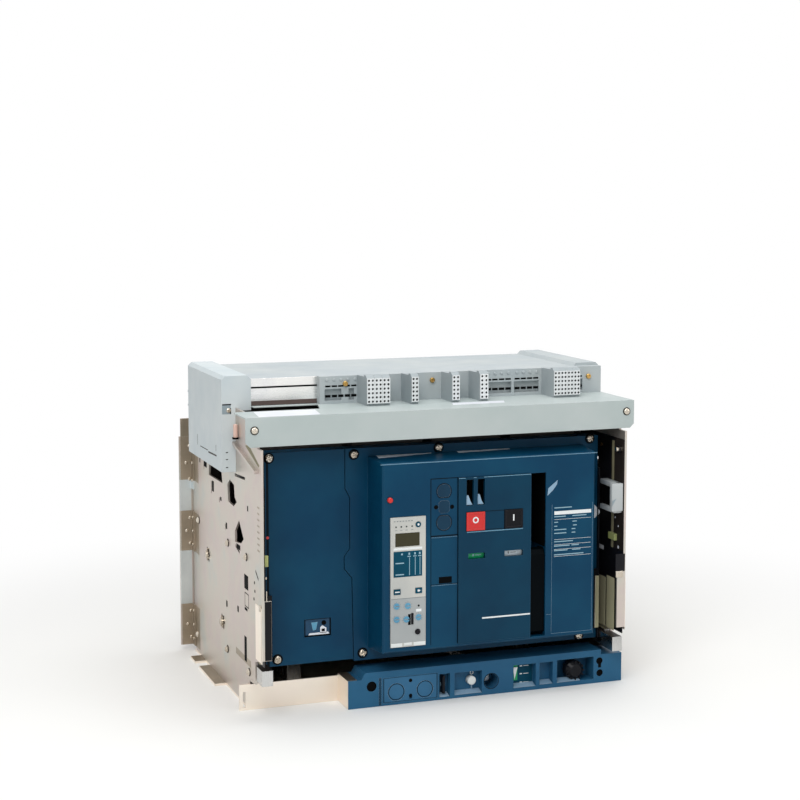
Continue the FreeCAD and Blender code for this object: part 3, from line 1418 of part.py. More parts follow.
for i, (dial_x, dial_z) in enumerate(DIALS):
    node("dial_%d" % (i + 1), make_dial(i, fixed(dial_x), fixed(dial_z)))


# Brackets, bolts and screws of the chassis
BRACKET_SPANS = [(8.5, 70.5), (151.2, 211), (244.4, 322)]


def make_brackets():
    """Riveted angles in the corner between the side plate and its rear flange."""
    pieces = []
    flange_front = rear - d.sheet
    for i, (low, high) in enumerate(BRACKET_SPANS):
        span = (fixed(low), fixed(high))
        along = box("bracket_leg_%d" % i, (-plate_outer - d.bracket_sheet, -plate_outer),
                    (flange_front - d.bracket_leg, flange_front), span)
        across = box("bracket_foot_%d" % i, (-d.overall_width / 2 + d.bracket_sheet, -plate_outer),
                     (flange_front - d.bracket_sheet, flange_front), span)
        angle = fuse("bracket_%d" % i, along, across)
        pieces += [angle, mirrored("bracket_right_%d" % i, angle)]
    return group("rear_brackets", *pieces)


node("rear_brackets", make_brackets())


def make_side_bolts():
    """Hexagon heads on the outside of both side plates."""
    pieces = []
    for i, (y, z) in enumerate(PLATE_HOLES):
        left = new("Part::Prism", "side_bolt_%d" % i)
        left.Polygon = 6
        bind(left, "Circumradius", d.bolt_radius)
        bind(left, "Height", d.bolt_height)
        place(left, -plate_outer - d.bolt_height, y, fixed(z), TURN["x"])
        pieces += [left, mirrored("side_bolt_right_%d" % i, left)]
    return group("side_bolts", *pieces)


node("side_bolts", make_side_bolts())

BAR_SCREWS = [(-266, 381), (266, 381)]
BRASS_SCREWS = [(-109, 424), (17, 424), (255, 420.6)]


def make_chassis_screws():
    heads = make_screw_heads("bar_screw", BAR_SCREWS, bar_face, d.small_head, d.bar_screw)
    base_face = behind(d.cap_front) - d.running_gap - d.base_depth
    heads += make_screw_heads("brass_screw", BRASS_SCREWS, base_face, d.small_head, d.brass_screw)
    return group("chassis_screws", *heads)


node("chassis_screws", make_chassis_screws())


# Check every object, then write one file for each node
def finish():
    doc.recompute()
    for thing in made:
        if "Invalid" in thing.State or "Error" in thing.State:
            raise RuntimeError("%s did not build: %s" % (thing.Name, thing.State))
    for name, thing in nodes.items():
        if thing.Shape.isNull() or not thing.Shape.isValid():
            raise RuntimeError("%s has no valid shape" % name)
    os.makedirs("parts", exist_ok=True)
    for name, thing in nodes.items():
        thing.Shape.exportStep("parts/%s.step" % name)


finish()
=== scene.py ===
import math

import bmesh
import bpy
from mathutils import Matrix, Vector


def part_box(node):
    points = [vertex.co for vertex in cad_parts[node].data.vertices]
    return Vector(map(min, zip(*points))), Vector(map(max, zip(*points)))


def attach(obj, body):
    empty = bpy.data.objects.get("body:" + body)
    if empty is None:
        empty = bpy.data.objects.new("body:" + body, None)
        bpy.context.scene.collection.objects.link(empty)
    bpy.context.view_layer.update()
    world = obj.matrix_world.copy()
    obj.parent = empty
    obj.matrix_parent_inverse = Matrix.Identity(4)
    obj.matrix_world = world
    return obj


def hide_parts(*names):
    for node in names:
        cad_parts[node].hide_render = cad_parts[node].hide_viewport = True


bl_info = {
    "name": "Draw-out Air Circuit Breaker",
    "version": (1, 0, 0),
    "blender": (4, 5, 0),
    "location": "3D View > Sidebar > Breaker",
    "description": "Finishes and fine pieces of a four-pole draw-out air circuit breaker",
    "category": "Object",
}

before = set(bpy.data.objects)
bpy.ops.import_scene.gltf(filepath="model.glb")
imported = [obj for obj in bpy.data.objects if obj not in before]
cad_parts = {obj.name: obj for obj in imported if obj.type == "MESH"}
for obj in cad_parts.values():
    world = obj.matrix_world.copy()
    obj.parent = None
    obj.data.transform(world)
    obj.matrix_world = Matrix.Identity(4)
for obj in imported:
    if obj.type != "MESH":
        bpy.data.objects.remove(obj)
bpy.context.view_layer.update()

MM = 0.001
AXES = {"x": (1, 2, 0), "y": (2, 0, 1), "z": (0, 1, 2)}


def corners(node):
    """A CAD node's lowest and highest corner in millimetres."""
    low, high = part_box(node)
    return [c / MM for c in low], [c / MM for c in high]


def front_centre(node):
    """X and Z of a CAD node's middle, and Y of its front."""
    low, high = corners(node)
    return (low[0] + high[0]) / 2, (low[2] + high[2]) / 2, low[1]


# Front faces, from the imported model
COVER_FACE = corners("key_lock_cover")[0][1]
PANEL_FACE = corners("control_panel")[0][1]
TRIP_FACE = corners("trip_unit")[0][1]
BAR_FACE = corners("racking_bar")[0][1]
CROSSBAR_FACE = corners("front_crossbar")[0][1]

# How proud ink stands, the outer and inner faces of the side plates, and the sides with their words
INK = 0.12
PLATE_OUTER = 258.5
PLATE_INNER = 255.5
SIDES = ((-1, "left"), (1, "right"))

# Corners closer than this are one, and edges flatter than this are smooth. Flags swing by this many degrees.
WELD = 0.0005
SHARP = math.radians(32)
FLAG_SWING = 60

# The camera that matches the photograph
LENS = 76.990
CAMERA_PLACE = (-0.81834, -2.27019, 0.69029)
CAMERA_TURN = (math.radians(90 - 5.542), 0, math.radians(-19.801))

# Homes of the pieces: what they ride on, and the slot of their finish
COVER = ("breaker", "cover_moulding")
TRIP = ("breaker", "trip_moulding")
PANEL = ("breaker", "panel_moulding")
BLACK = ("breaker", "black_moulding")
GRIP = ("breaker", "grip_moulding")
RACKING = ("chassis", "racking_moulding")
FIXED_BLACK = ("chassis", "black_moulding")
STEEL = ("chassis", "screw_steel")
HOOD = ("chassis", "grey_moulding")
TERMINAL = ("chassis", "terminal_moulding")
OLIVE = ("chassis", "olive_zinc")
ZINC = ("chassis", "zinc_sheet")
RAIL = ("chassis", "brushed_aluminium")
ENAMEL = ("chassis", "grey_enamel")


def linear(colour):
    """A six-digit sRGB hex colour as linear red, green, blue and alpha. A setting's colour already is."""
    if not isinstance(colour, str):
        return tuple(colour)
    parts = [int(colour[i:i + 2], 16) / 255 for i in (0, 2, 4)]
    return tuple(p / 12.92 if p <= 0.04045 else ((p + 0.055) / 1.055) ** 2.4 for p in parts) + (1.0,)


def give(node, inputs):
    """Gives each of a node's sockets a value or a link. Another node stands for its first output."""
    for socket, value in inputs.items():
        if isinstance(value, bpy.types.Node):
            value = value.outputs[0]
        if isinstance(value, bpy.types.NodeSocket):
            node.id_data.links.new(value, node.inputs[socket])
        else:
            node.inputs[socket].default_value = value


def add(tree, kind, inputs=(), **settings):
    """Adds a node. Settings are its properties, and inputs are what its sockets are given."""
    node = tree.nodes.new(kind)
    for name, value in settings.items():
        setattr(node, name, value)
    give(node, dict(inputs))
    return node


# Settings that a user would change
def length(name, description, size):
    """A setting for a length, given in millimetres."""
    return bpy.props.FloatProperty(name=name, description=description, default=size * MM, min=0.0, unit="LENGTH",
        precision=5)


def colour(name, description, value):
    """A setting for a colour, given as a hex colour."""
    return bpy.props.FloatVectorProperty(name=name, description=description, subtype="COLOR", size=4, min=0.0, max=1.0,
        default=linear(value))


class FinishSettings(bpy.types.PropertyGroup):
    """Colours of the large surfaces."""
    cover: colour("Covers", "Front covers of the breaker", "06405C")
    bar: colour("Racking bar", "Moulding at the foot of the chassis", "275E80")
    panel: colour("Control panel", "Raised panel with the buttons", "03374F")
    enamel: colour("Crossbar", "Powder coat of the front crossbar", "B5BEBD")
    hood: colour("Hoods", "Grey mouldings on top of the chassis", "B4BBBC")
    zinc: colour("Zinc", "Passivated zinc of the side plates", "C9C2B9")
    edge: length("Edge rounding", "Radius that edges seem to have", 0.5)


class FastenerSettings(bpy.types.PropertyGroup):
    """Screws and rivets."""
    screw: length("Cover screw", "Head radius of the cover screws", 5.5)
    bar_screw: length("Crossbar screw", "Head radius of the crossbar screws", 4.5)
    brass: length("Terminal screw", "Head radius of the brass screws", 3.6)
    rivet: length("Star rivet", "Radius of the star-headed rivets", 9.0)
    dome: length("Dome rivet", "Radius of the dome-headed rivets", 4.6)
    small_rivet: length("Bracket rivet", "Radius of the bracket rivets", 2.6)
    recess: length("Recess", "Depth of the drive recess", 1.6)


class TerminalSettings(bpy.types.PropertyGroup):
    """Plug-in terminals on the tray."""
    hole: length("Wire hole", "Radius of a wire hole", 1.55)
    front: length("Front plate", "Thickness of the white front plate", 1.2)
    seam: length("Seam", "Gap between two terminals", 0.3)
    tab: length("Marker tab", "Radius of a marker tab", 2.0)
    rows: bpy.props.IntProperty(name="Rows", description="Wire holes above each other", default=6, min=1)


class WorksSettings(bpy.types.PropertyGroup):
    """The screw's thread and the closing spring."""
    lead: length("Screw lead", "Advance of the racking screw for each turn", 10.0)
    thread: length("Thread", "Height of the racking screw's thread", 1.1)
    wire: length("Spring wire", "Wire of the closing spring", 1.6)
    turns: bpy.props.IntProperty(name="Spring turns", description="Turns of the closing spring", default=11, min=2)


class MarkSettings(bpy.types.PropertyGroup):
    """Printed marks."""
    ink: colour("Ink", "White marking ink", "E9EDEE")
    stripe: length("Stripe", "Height of the white stripe on the panel", 2.0)


class StageSettings(bpy.types.PropertyGroup):
    """Floor, lamps and camera."""
    floor: colour("Floor", "Colour of the floor", "F4F4F2")
    radius: length("Floor radius", "Radius of the floor", 9000.0)
    ambient: bpy.props.FloatProperty(name="Ambient", description="Level of light from all sides", default=0.42,
        min=0.0)
    lamps: bpy.props.FloatProperty(name="Lamps", description="Level of the soft boxes", default=1.0, min=0.0)


# Materials
def per(size):
    """The scale at which a noise pattern has features of that size in millimetres."""
    return 1 / (size * MM)


def new_material(name):
    """A material, its tree, its shader and the object's own coordinates."""
    material = bpy.data.materials.new(name)
    material.use_nodes = True
    tree = material.node_tree
    tree.nodes.clear()
    shader = add(tree, "ShaderNodeBsdfPrincipled")
    add(tree, "ShaderNodeOutputMaterial", {"Surface": shader})
    place = add(tree, "ShaderNodeTexCoord").outputs["Object"]
    return material, tree, shader, place


def ground(tree, shader, share, tone, shade, edge_wear_and_highlight, glint):
    """The base colour: one tone drifts into another, and edges are painted paler, partly as wear and partly as a
    painted highlight. Gives a normal that turns softly over the edges."""
    soft = add(tree, "ShaderNodeBevel", {"Radius": bpy.context.scene.breaker_finish.edge}, samples=4)
    true = add(tree, "ShaderNodeNewGeometry").outputs["Normal"]
    bend = add(tree, "ShaderNodeVectorMath", {0: soft, 1: true}, operation="DOT_PRODUCT").outputs["Value"]
    # Edges painted paler: partly wear, partly a painted highlight.
    over = add(tree, "ShaderNodeMapRange", {"Value": bend, "From Min": 0.995, "From Max": 0.8, "To Max": edge_wear_and_highlight})
    base = add(tree, "ShaderNodeMix", {0: share, 6: tone, 7: linear(shade)}, data_type="RGBA").outputs[2]
    lit = add(tree, "ShaderNodeMix", {0: over, 6: base, 7: linear(glint)}, data_type="RGBA").outputs[2]
    give(shader, {"Base Color": lit})
    return soft


def skin(tree, shader, soft, relief, depth, strength, smear, calm, low, high):
    """A fine relief on the soft normal, and a gloss that wanders between two levels of roughness."""
    bump = add(tree, "ShaderNodeBump", {"Height": relief, "Distance": depth * MM, "Strength": strength,
        "Normal": soft})
    rough = add(tree, "ShaderNodeMapRange", {"Value": smear, "From Min": calm, "From Max": 1 - calm, "To Min": low,
        "To Max": high})
    give(shader, {"Normal": bump, "Roughness": rough})


def moulded(name, tone, shade, roughness, grain=0.45, depth=0.03, drift=70, edge_wear_and_highlight=0.35, glint="FFFFFF", coat=0.0,
        shine=0.4):
    """Injection-moulded plastic. Its colour drifts slightly, spark-eroded grain breaks its gloss, and edges are
    painted paler, partly as wear and partly as a painted highlight."""
    material, tree, shader, place = new_material(name)
    cloud = add(tree, "ShaderNodeTexNoise", {"Vector": place, "Scale": per(drift), "Detail": 3.0})
    spread = add(tree, "ShaderNodeMapRange", {"Value": cloud, "From Min": 0.35, "From Max": 0.65})
    soft = ground(tree, shader, spread, linear(tone), shade, edge_wear_and_highlight, glint)
    pits = add(tree, "ShaderNodeTexNoise", {"Vector": place, "Scale": per(grain), "Detail": 2.0})
    smear = add(tree, "ShaderNodeTexNoise", {"Vector": place, "Scale": per(25), "Detail": 4.0})
    skin(tree, shader, soft, pits, depth, 0.6, smear, 0.3, roughness - 0.06, roughness + 0.06)
    give(shader, {"IOR": 1.5, "Coat Weight": coat, "Specular IOR Level": shine})
    return material


def rolled(tree, place, scale):
    """Fine lines along a sheet or a bar."""
    stretched = add(tree, "ShaderNodeMapping", {"Vector": place, "Scale": tuple(per(s) for s in scale)})
    return add(tree, "ShaderNodeTexNoise", {"Vector": stretched, "Scale": 1.0, "Detail": 3.0})


def plated(name, tone, shade, roughness, grain=(0.4, 18, 18), glint="F4F1EA"):
    """Plated or rolled metal. The plating's tint wanders, and fine rolling lines stretch its highlights."""
    material, tree, shader, place = new_material(name)
    cloud = add(tree, "ShaderNodeTexNoise", {"Vector": place, "Scale": per(45), "Detail": 4.0})
    spread = add(tree, "ShaderNodeMapRange", {"Value": cloud, "From Min": 0.38, "From Max": 0.62})
    soft = ground(tree, shader, spread, linear(tone), shade, 0.3, glint)
    relief = rolled(tree, place, grain)
    skin(tree, shader, soft, relief, 0.012, 0.7, relief, 0.3, roughness - 0.07, roughness + 0.09)
    give(shader, {"Metallic": 1.0})
    return material


def printed(name, tone):
    """Pad-printed ink: flat, its tone thinned a little towards grey in fine patches."""
    material, tree, shader, place = new_material(name)
    patch = add(tree, "ShaderNodeTexNoise", {"Vector": place, "Scale": per(0.8), "Detail": 2.0})
    thin = add(tree, "ShaderNodeMapRange", {"Value": patch, "From Min": 0.3, "From Max": 0.7, "To Max": 0.18})
    worn = add(tree, "ShaderNodeMix", {0: thin, 6: linear(tone), 7: linear("8D9496")}, data_type="RGBA")
    give(shader, {"Base Color": worn.outputs[2], "Roughness": 0.5})
    return material


def zinc_sheet(name, share, even):
    """Rolled steel sheet with passivated zinc: a warm silver with faint pink and green clouds. The share
    says how far one even tint hides them."""
    material, tree, shader, place = new_material(name)
    clouds = add(tree, "ShaderNodeTexNoise", {"Vector": place, "Scale": per(55), "Detail": 3.0})
    ramp = add(tree, "ShaderNodeValToRGB", {"Fac": clouds})
    stops = ((0.3, "B5BDB9"), (0.42, "C4BFB4"), (0.52, "C8BCB3"), (0.6, "C5B4B2"), (0.72, "BDBDB2"))
    for i, (at, tint) in enumerate(stops):
        stop = ramp.color_ramp.elements[i] if i < 2 else ramp.color_ramp.elements.new(at)
        stop.position = at
        stop.color = linear(tint)
    soft = ground(tree, shader, share, ramp, even, 0.45, "F2EEE6")
    relief = rolled(tree, place, (0.5, 0.5, 30))
    skin(tree, shader, soft, relief, 0.01, 0.5, relief, 0.0, 0.34, 0.5)
    give(shader, {"Metallic": 0.85})
    return material


def lens(name, tone):
    """Clear acrylic over a coloured ground: deep, glossy and wet-looking."""
    material, tree, shader, place = new_material(name)
    dust = add(tree, "ShaderNodeTexNoise", {"Vector": place, "Scale": per(3), "Detail": 3.0})
    rough = add(tree, "ShaderNodeMapRange", {"Value": dust, "To Min": 0.08, "To Max": 0.22})
    give(shader, {"Base Color": linear(tone), "Roughness": rough, "Coat Weight": 0.1, "Specular IOR Level": 0.2})
    return material


finishes = {}


def make_materials(context):
    """Makes every finish."""
    settings = context.scene.breaker_finish
    marks = context.scene.breaker_marks
    finishes.update({
        # Rolled sheet under passivated zinc
        "zinc": zinc_sheet("Passivated zinc sheet", 0.5, settings.zinc),
        "tray_zinc": zinc_sheet("Freshly plated zinc sheet", 0.85, "FFF4E6"),
        # Olive chromate over zinc: greener and duller than the plates
        "olive": plated("Olive chromate zinc", "9A9080", "AA9D8C", 0.42),
        # Powder coat on steel: even, satin, with a very fine orange peel
        "enamel": moulded("Grey powder coat", settings.enamel, "ADB8B7", 0.42, grain=0.9, depth=0.02),
        # Glass-filled polyester: cool grey, dry and slightly mottled
        "hood": moulded("Grey glass-filled polyester", settings.hood, "AAB3B7", 0.5, grain=0.5),
        # The left cap is the same polyester as the right one, painted lighter: painted light.
        "cap": moulded("Grey glass-filled polyester with painted light", "C9D1D3", "BEC9CD", 0.5, grain=0.5),
        # Extruded aluminium: bright, with die lines along its length
        "aluminium": plated("Extruded aluminium", "F3F2EF", "E6E6E6", 0.26, (60, 0.3, 0.3)),
        # Polyamide terminal bodies and their white fronts
        "terminal": moulded("Grey polyamide", "A4ACAF", "959FA3", 0.5),
        "terminal_front": moulded("White polyamide", "E4E7E8", "DADEDF", 0.45, edge_wear_and_highlight=0.1),
        # Satin polycarbonate covers: deep petrol blue with a soft sheen
        "cover": moulded("Petrol blue polycarbonate", settings.cover, "023754", 0.36, glint="5E8CAB", shine=0.14),
        "bar": moulded("Blue glass-filled polyamide", settings.bar, "215476", 0.42, glint="7FA9C6", shine=0.2),
        "panel": moulded("Petrol blue ABS", settings.panel, "023048", 0.34, glint="6D9AB8", shine=0.14),
        "handle": moulded("Dark blue ABS", "010508", "010407", 0.42, glint="22323E", shine=0.04),
        # Light grey ABS of the trip unit
        "trip": moulded("Light grey ABS", "C2C2BC", "B4B6B3", 0.45, edge_wear_and_highlight=0.25),
        "screen": lens("Display window", "37341F"),
        "teal": moulded("Teal silicone rubber", "06465C", "063E52", 0.5, glint="4F8E96", shine=0.1),
        "dial": moulded("Light blue polyamide", "5E9DBB", "4E8CAC", 0.4),
        "black": moulded("Black polyamide", "0B0C10", "14151A", 0.34, glint="4A4650", edge_wear_and_highlight=0.6,
                          shine=0.15),
        # Black for print, and as painted shade inside holes, slots, grooves and recesses.
        "dark": moulded("Black print and painted shade", "030405", "060708", 0.7, edge_wear_and_highlight=0.0, shine=0.05),
        "red": moulded("Red ABS", "D2231F", "C81F1C", 0.3, glint="FF9A8E", coat=0.2),
        "green": moulded("Green indicator", "14A868", "129A60", 0.4, glint="5FC29B"),
        "yellow": moulded("Yellow indicator", "DDB02A", "D0A322", 0.4),
        "pale": moulded("Pale indicator", "D5E0E6", "C9D6DD", 0.4),
        "white": moulded("White polyamide button", "E2E5E3", "D5DAD9", 0.35),
        # Polyester moulding compound of the pole case: dark, dry, with glass flecks
        "thermoset": moulded("Polyester moulding compound", "4A4744", "57534F", 0.6, grain=0.8,
                             depth=0.05, drift=30),
        "grip": moulded("Pale grey polyamide", "B4B9BA", "A6ACAE", 0.4),
        # Silver-plated copper bars: warm metal, drawn along their length
        "copper": plated("Drawn copper", "C98A62", "B9714A", 0.3, (18, 18, 0.4), glint="F3C9A8"),
        # Ground steel with a light oil film
        "steel": plated("Bright steel", "C9C9C7", "B4B4B3", 0.24),
        "screw": plated("Nickel-plated screw steel", "CFC6B8", "B9AE9E", 0.2, (0.8, 0.8, 0.8)),
        "brass": plated("Yellow chromate brass", "C7A15A", "A98542", 0.25, (0.8, 0.8, 0.8)),
        "ink": printed("White marking ink", marks.ink),
        "grey_ink": printed("Grey marking ink", "6E777A"),
        "pale_ink": printed("Pale blue marking ink", "8FB4C4"),
        "bar_plate": moulded("Blue polyamide plate", "34688C", "2C5E80", 0.4, glint="7FA9C6",
                             shine=0.2),
        # Ridges and edges of the blue mouldings, painted paler as highlights
        "ridge_highlight": moulded("Blue polycarbonate with painted highlight", "2F6482", "2A5B78", 0.4, shine=0.2),
        "worn": moulded("Pale blue polycarbonate with painted highlight", "6294AE", "5A8CA6", 0.4, shine=0.2),
        # Grooves and gaps between blue mouldings, always in shade
        "seam": moulded("Shaded blue plastic", "03141F", "020F18", 0.6, edge_wear_and_highlight=0.0, shine=0.1),
        "knock_out": moulded("Thin blue polycarbonate", "0A3850", "072F46", 0.4, shine=0.2),
        # Slopes and a dent of the blue mouldings, painted pale as a highlight of the light from above
        "sill_highlight": moulded("Pale blue painted highlight", "9DB9CE", "7F9FB8", 0.3),
        "label": moulded("White vinyl film", "E6E9EE", "DCE0E8", 0.35, grain=2.0, edge_wear_and_highlight=0.0),
        "brown": moulded("Brown phenolic board", "4E403C", "5A4A46", 0.6),
        "trip_low": moulded("Cool grey ABS", "A6AAAA", "9EA3A4", 0.45, edge_wear_and_highlight=0.0),
        "led": lens("Indicator lens", "2E3A34"),
        "clip": moulded("Pale green polyamide clip", "A8AE6E", "98A066", 0.4),
        # A matt, darker copy of the olive zinc: painted shade on slits and bars of the side plates.
        "shaded_olive_zinc": moulded("Olive zinc in painted shade", "8F8A6E", "86816A", 0.5, edge_wear_and_highlight=0.0, shine=0.1),
        "flange": plated("Pale blue zinc", "D6DDDE", "CCD3D5", 0.4),
        "shade": moulded("Shaded grey polyester", "8E9CA3", "87959C", 0.5, edge_wear_and_highlight=0.0),
        "liner_zinc": moulded("Olive passivated liner", "BDB896", "B3AE90", 0.5, edge_wear_and_highlight=0.0, shine=0.1),
        # Painted shade: dark rings round rivets and screws, and dark strips in gaps, along the cap skirts, in the
        # plates' noses and on the rails.
        "brown_shade": moulded("Brown-black painted shade", "2A2522", "24201E", 0.5, edge_wear_and_highlight=0.0, shine=0.15),
        "pink": lens("Pale pink sleeve", "D9B9AC"),
        "window": lens("Smoked window", "17405E"),
    })


# The CAD nodes that wear each finish
NODE_FINISHES = {
    "zinc": ("side_plate_left", "side_plate_right"),
    "tray_zinc": ("base_tray",),
    "olive": ("rear_brackets",),
    "enamel": ("front_crossbar",),
    "hood": ("end_cap_right", "top_cover", "terminal_base"),
    "cap": ("end_cap_left",),
    "aluminium": ("terminal_rail",),
    "cover": ("front_cover", "fourth_pole_cover", "key_lock_cover"),
    "bar": ("racking_bar",),
    "bar_plate": ("key_lock_plate",),
    "panel": ("control_panel",),
    "handle": ("charging_handle",),
    "trip": ("trip_unit",),
    "screen": ("trip_screen",),
    "teal": ("menu_key_left", "menu_key_right", "test_key"),
    "dial": ("dial_1", "dial_2", "dial_3", "dial_4", "dial_5"),
    "black": ("on_button", "rating_plug", "stored_crank", "padlock_slide", "breaker_side_plates"),
    "red": ("off_button", "reset_button"),
    "green": ("contact_flag", "position_flag"),
    "pale": ("charge_flag",),
    "white": ("release_button",),
    "thermoset": ("rear_panel", "upper_shutter", "lower_shutter", "pole_case", "arc_chutes"),
    "grip": ("lifting_grips",),
    "copper": ("rear_terminals", "contact_jaws", "main_blades", "moving_contacts"),
    "steel": ("racking_screw", "rail_guides", "rail_left", "rail_right", "racking_carriage", "pole_shaft",
              "mechanism_frame", "closing_spring"),
    "screw": ("side_bolts", "chassis_screws", "cover_screws"),
}


# Mesh building, in millimetres
def point(axis, across, up, along):
    """A place from its two coordinates across an axis and the one along it."""
    spot = [0.0, 0.0, 0.0]
    first, second, third = AXES[axis]
    spot[first], spot[second], spot[third] = across, up, along
    return spot


def circle(u, v, radius, sides, shift=0.0):
    """Even points round a place. The shift turns them by a share of their distance."""
    angles = [2 * math.pi * (i + shift) / sides for i in range(sides)]
    return [(u + radius * math.cos(a), v + radius * math.sin(a)) for a in angles]


def between(mesh, a, b):
    """Faces between two closed loops. A loop of one vertex makes a tip."""
    for i in range(max(len(a), len(b))):
        around = (a[i % len(a)], a[(i + 1) % len(a)], b[(i + 1) % len(b)], b[i % len(b)])
        mesh.faces.new(list(dict.fromkeys(around)))


def block(mesh, low, high, rounding=0.0):
    """A block between two corners, with rounded edges if asked."""
    made = bmesh.ops.create_cube(mesh, size=1.0)["verts"]
    bmesh.ops.scale(mesh, vec=[h - l for l, h in zip(low, high)], verts=made)
    bmesh.ops.translate(mesh, vec=[(h + l) / 2 for l, h in zip(low, high)], verts=made)
    if rounding:
        rims = {edge for vertex in made for edge in vertex.link_edges}
        bmesh.ops.bevel(mesh, geom=list(rims), offset=rounding, segments=2, profile=0.5, affect="EDGES")


def turned(mesh, profile, axis, across, up, along, sides=32):
    """A round piece. Its profile gives distance along the axis and radius, from end to end."""
    rings = []
    for reach, radius in profile:
        ring = circle(across, up, radius, sides if radius else 1)
        rings.append([mesh.verts.new(point(axis, u, v, along + reach)) for u, v in ring])
    for a, b in zip(rings, rings[1:]):
        between(mesh, a, b)
    for ring in (rings[0], rings[-1]):
        if len(ring) > 1:
            mesh.faces.new(ring)


def outline_of(shape):
    """The corners of a flat shape. A rectangle may be given as left, right, low and high."""
    if isinstance(shape[0], tuple):
        return shape
    left, right, low, high = shape
    return [(left, low), (right, low), (right, high), (left, high)]


def drawn(mesh, shape, axis, start, end):
    """A flat shape across an axis, drawn out along it."""
    outline = outline_of(shape)
    a, b = ([mesh.verts.new(point(axis, u, v, at)) for u, v in outline] for at in (start, end))
    mesh.faces.new(a)
    mesh.faces.new(b)
    between(mesh, a, b)


def perforated(mesh, left, low, step, rise, columns, rows, radius, face, back):
    """A plate whose cells each hold one round hole, seen along Y."""
    unit = circle(0, 0, 1, 12, 0.5)
    for column in range(columns):
        for row in range(rows):
            x, z = left + column * step + step / 2, low + row * rise + rise / 2
            rims = []
            for y in (face, back):
                square = [mesh.verts.new((x + u / max(abs(u), abs(v)) * step / 2, y,
                    z + v / max(abs(u), abs(v)) * rise / 2)) for u, v in unit]
                hole = [mesh.verts.new((x + u * radius, y, z + v * radius)) for u, v in unit]
                between(mesh, square, hole)
                rims.append((square, hole))
            for near, far in zip(*rims):
                between(mesh, near, far)


def half_round(x, z, radius, flat, steps=28):
    """A circle that looks forwards and is cut straight across at one height."""
    cut = max if flat < z else min
    return [(u, cut(v, flat)) for u, v in circle(x, z, radius, steps, 0.5)]


def band(mesh, shape, width, near, far):
    """A line of even width inside a shape that looks forwards."""
    outline = outline_of(shape)
    middle = [sum(p[i] for p in outline) / len(outline) for i in (0, 1)]
    share = 1 - width / max(math.hypot(u - middle[0], v - middle[1]) for u, v in outline)
    inner = [(middle[0] + (u - middle[0]) * share, middle[1] + (v - middle[1]) * share) for u, v in outline]
    loops = [[mesh.verts.new((u, y, v)) for u, v in line]
        for line, y in ((outline, near), (inner, near), (inner, far), (outline, far))]
    for a, b in zip(loops, loops[1:] + loops[:1]):
        between(mesh, a, b)


def linked(name, data):
    """An object of that data, in the scene."""
    thing = bpy.data.objects.new(name, data)
    bpy.context.scene.collection.objects.link(thing)
    return thing


def mesh_object(name, mesh, finish):
    """Turns a mesh in millimetres into an object in metres, smooth but for its sharp edges."""
    bmesh.ops.remove_doubles(mesh, verts=mesh.verts, dist=WELD)
    bmesh.ops.recalc_face_normals(mesh, faces=mesh.faces)
    bmesh.ops.scale(mesh, vec=(MM, MM, MM), verts=mesh.verts)
    for face in mesh.faces:
        face.smooth = True
    for edge in mesh.edges:
        edge.smooth = edge.is_manifold and edge.calc_face_angle() <= SHARP
    data = bpy.data.meshes.new(name)
    mesh.to_mesh(data)
    mesh.free()
    data.materials.append(finishes[finish])
    return linked(name, data)


def fit(piece, home, *replaced):
    """Says what a piece rides on, and hides the CAD nodes that it stands for."""
    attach(piece, home[0])
    if replaced:
        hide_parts(*replaced)


def put(name, mesh, finish, home, *replaced):
    """Makes a piece of a mesh and fits it."""
    fit(mesh_object(name, mesh, finish), home, *replaced)


def lines(name, outlines, width, face, finish, home, proud=INK):
    """Closed lines on a surface that looks forwards."""
    mesh = bmesh.new()
    for outline in outlines:
        band(mesh, outline, width, face - proud, face + proud)
    put(name, mesh, finish, home)


def shapes(name, outlines, axis, near, far, finish, home):
    """Flat shapes with straight sides, across an axis and between two places along it."""
    mesh = bmesh.new()
    for outline in outlines:
        drawn(mesh, outline, axis, near, far)
    put(name, mesh, finish, home)


def both_sides(name, outlines, near, far, finish, home):
    """Flat shapes on both side plates, each outline given as places along Y and Z."""
    mesh = bmesh.new()
    for side in (-1, 1):
        for outline in outlines:
            drawn(mesh, outline, "x", side * near, side * far)
    put(name, mesh, finish, home)


def plates(name, boxes, finish, home, rounding=0.0):
    """One piece made of several blocks."""
    mesh = bmesh.new()
    for low, high in boxes:
        block(mesh, low, high, rounding)
    put(name, mesh, finish, home)


def mirrored(boxes):
    """Blocks on the left and on the right, from their corners on the right."""
    return [((min(side * a[0], side * b[0]), *a[1:]), (max(side * a[0], side * b[0]), *b[1:])) for side in (-1, 1)
        for a, b in boxes]


def rounds(name, profile, axis, places, sides, finish, home):
    """Round pieces with one profile. Each place has two coordinates across the axis and one along it."""
    mesh = bmesh.new()
    for place in places:
        turned(mesh, profile, axis, *place, sides)
    put(name, mesh, finish, home)


def disc(radius, proud=INK, sunk=0.1):
    """The profile of a flat round mark on a surface that looks forwards."""
    return [(sunk, radius), (-proud, radius), (-proud, 0)]


def prints(name, rectangles, face, finish, home, proud=INK):
    """Flat marks on a surface that looks forwards, each given as left, right, low and high."""
    boxes = [((left, face - proud, low), (right, face + proud, high)) for left, right, low, high in rectangles]
    plates(name, boxes, finish, home)


def drum_arc(low, high, proud, start, end):
    """A thin arc on a flag drum's surface, as seen along X, between two angles in degrees from its front."""
    radius = (high[2] - low[2]) / 2
    middle, height = low[1] + radius, low[2] + radius
    angles = [math.radians(start + (end - start) * i / 12) for i in range(13)]
    outer, inner = ([(middle - r * math.cos(a), height + r * math.sin(a)) for a in angles]
        for r in (radius + proud, radius - 0.2))
    return outer + inner[::-1]


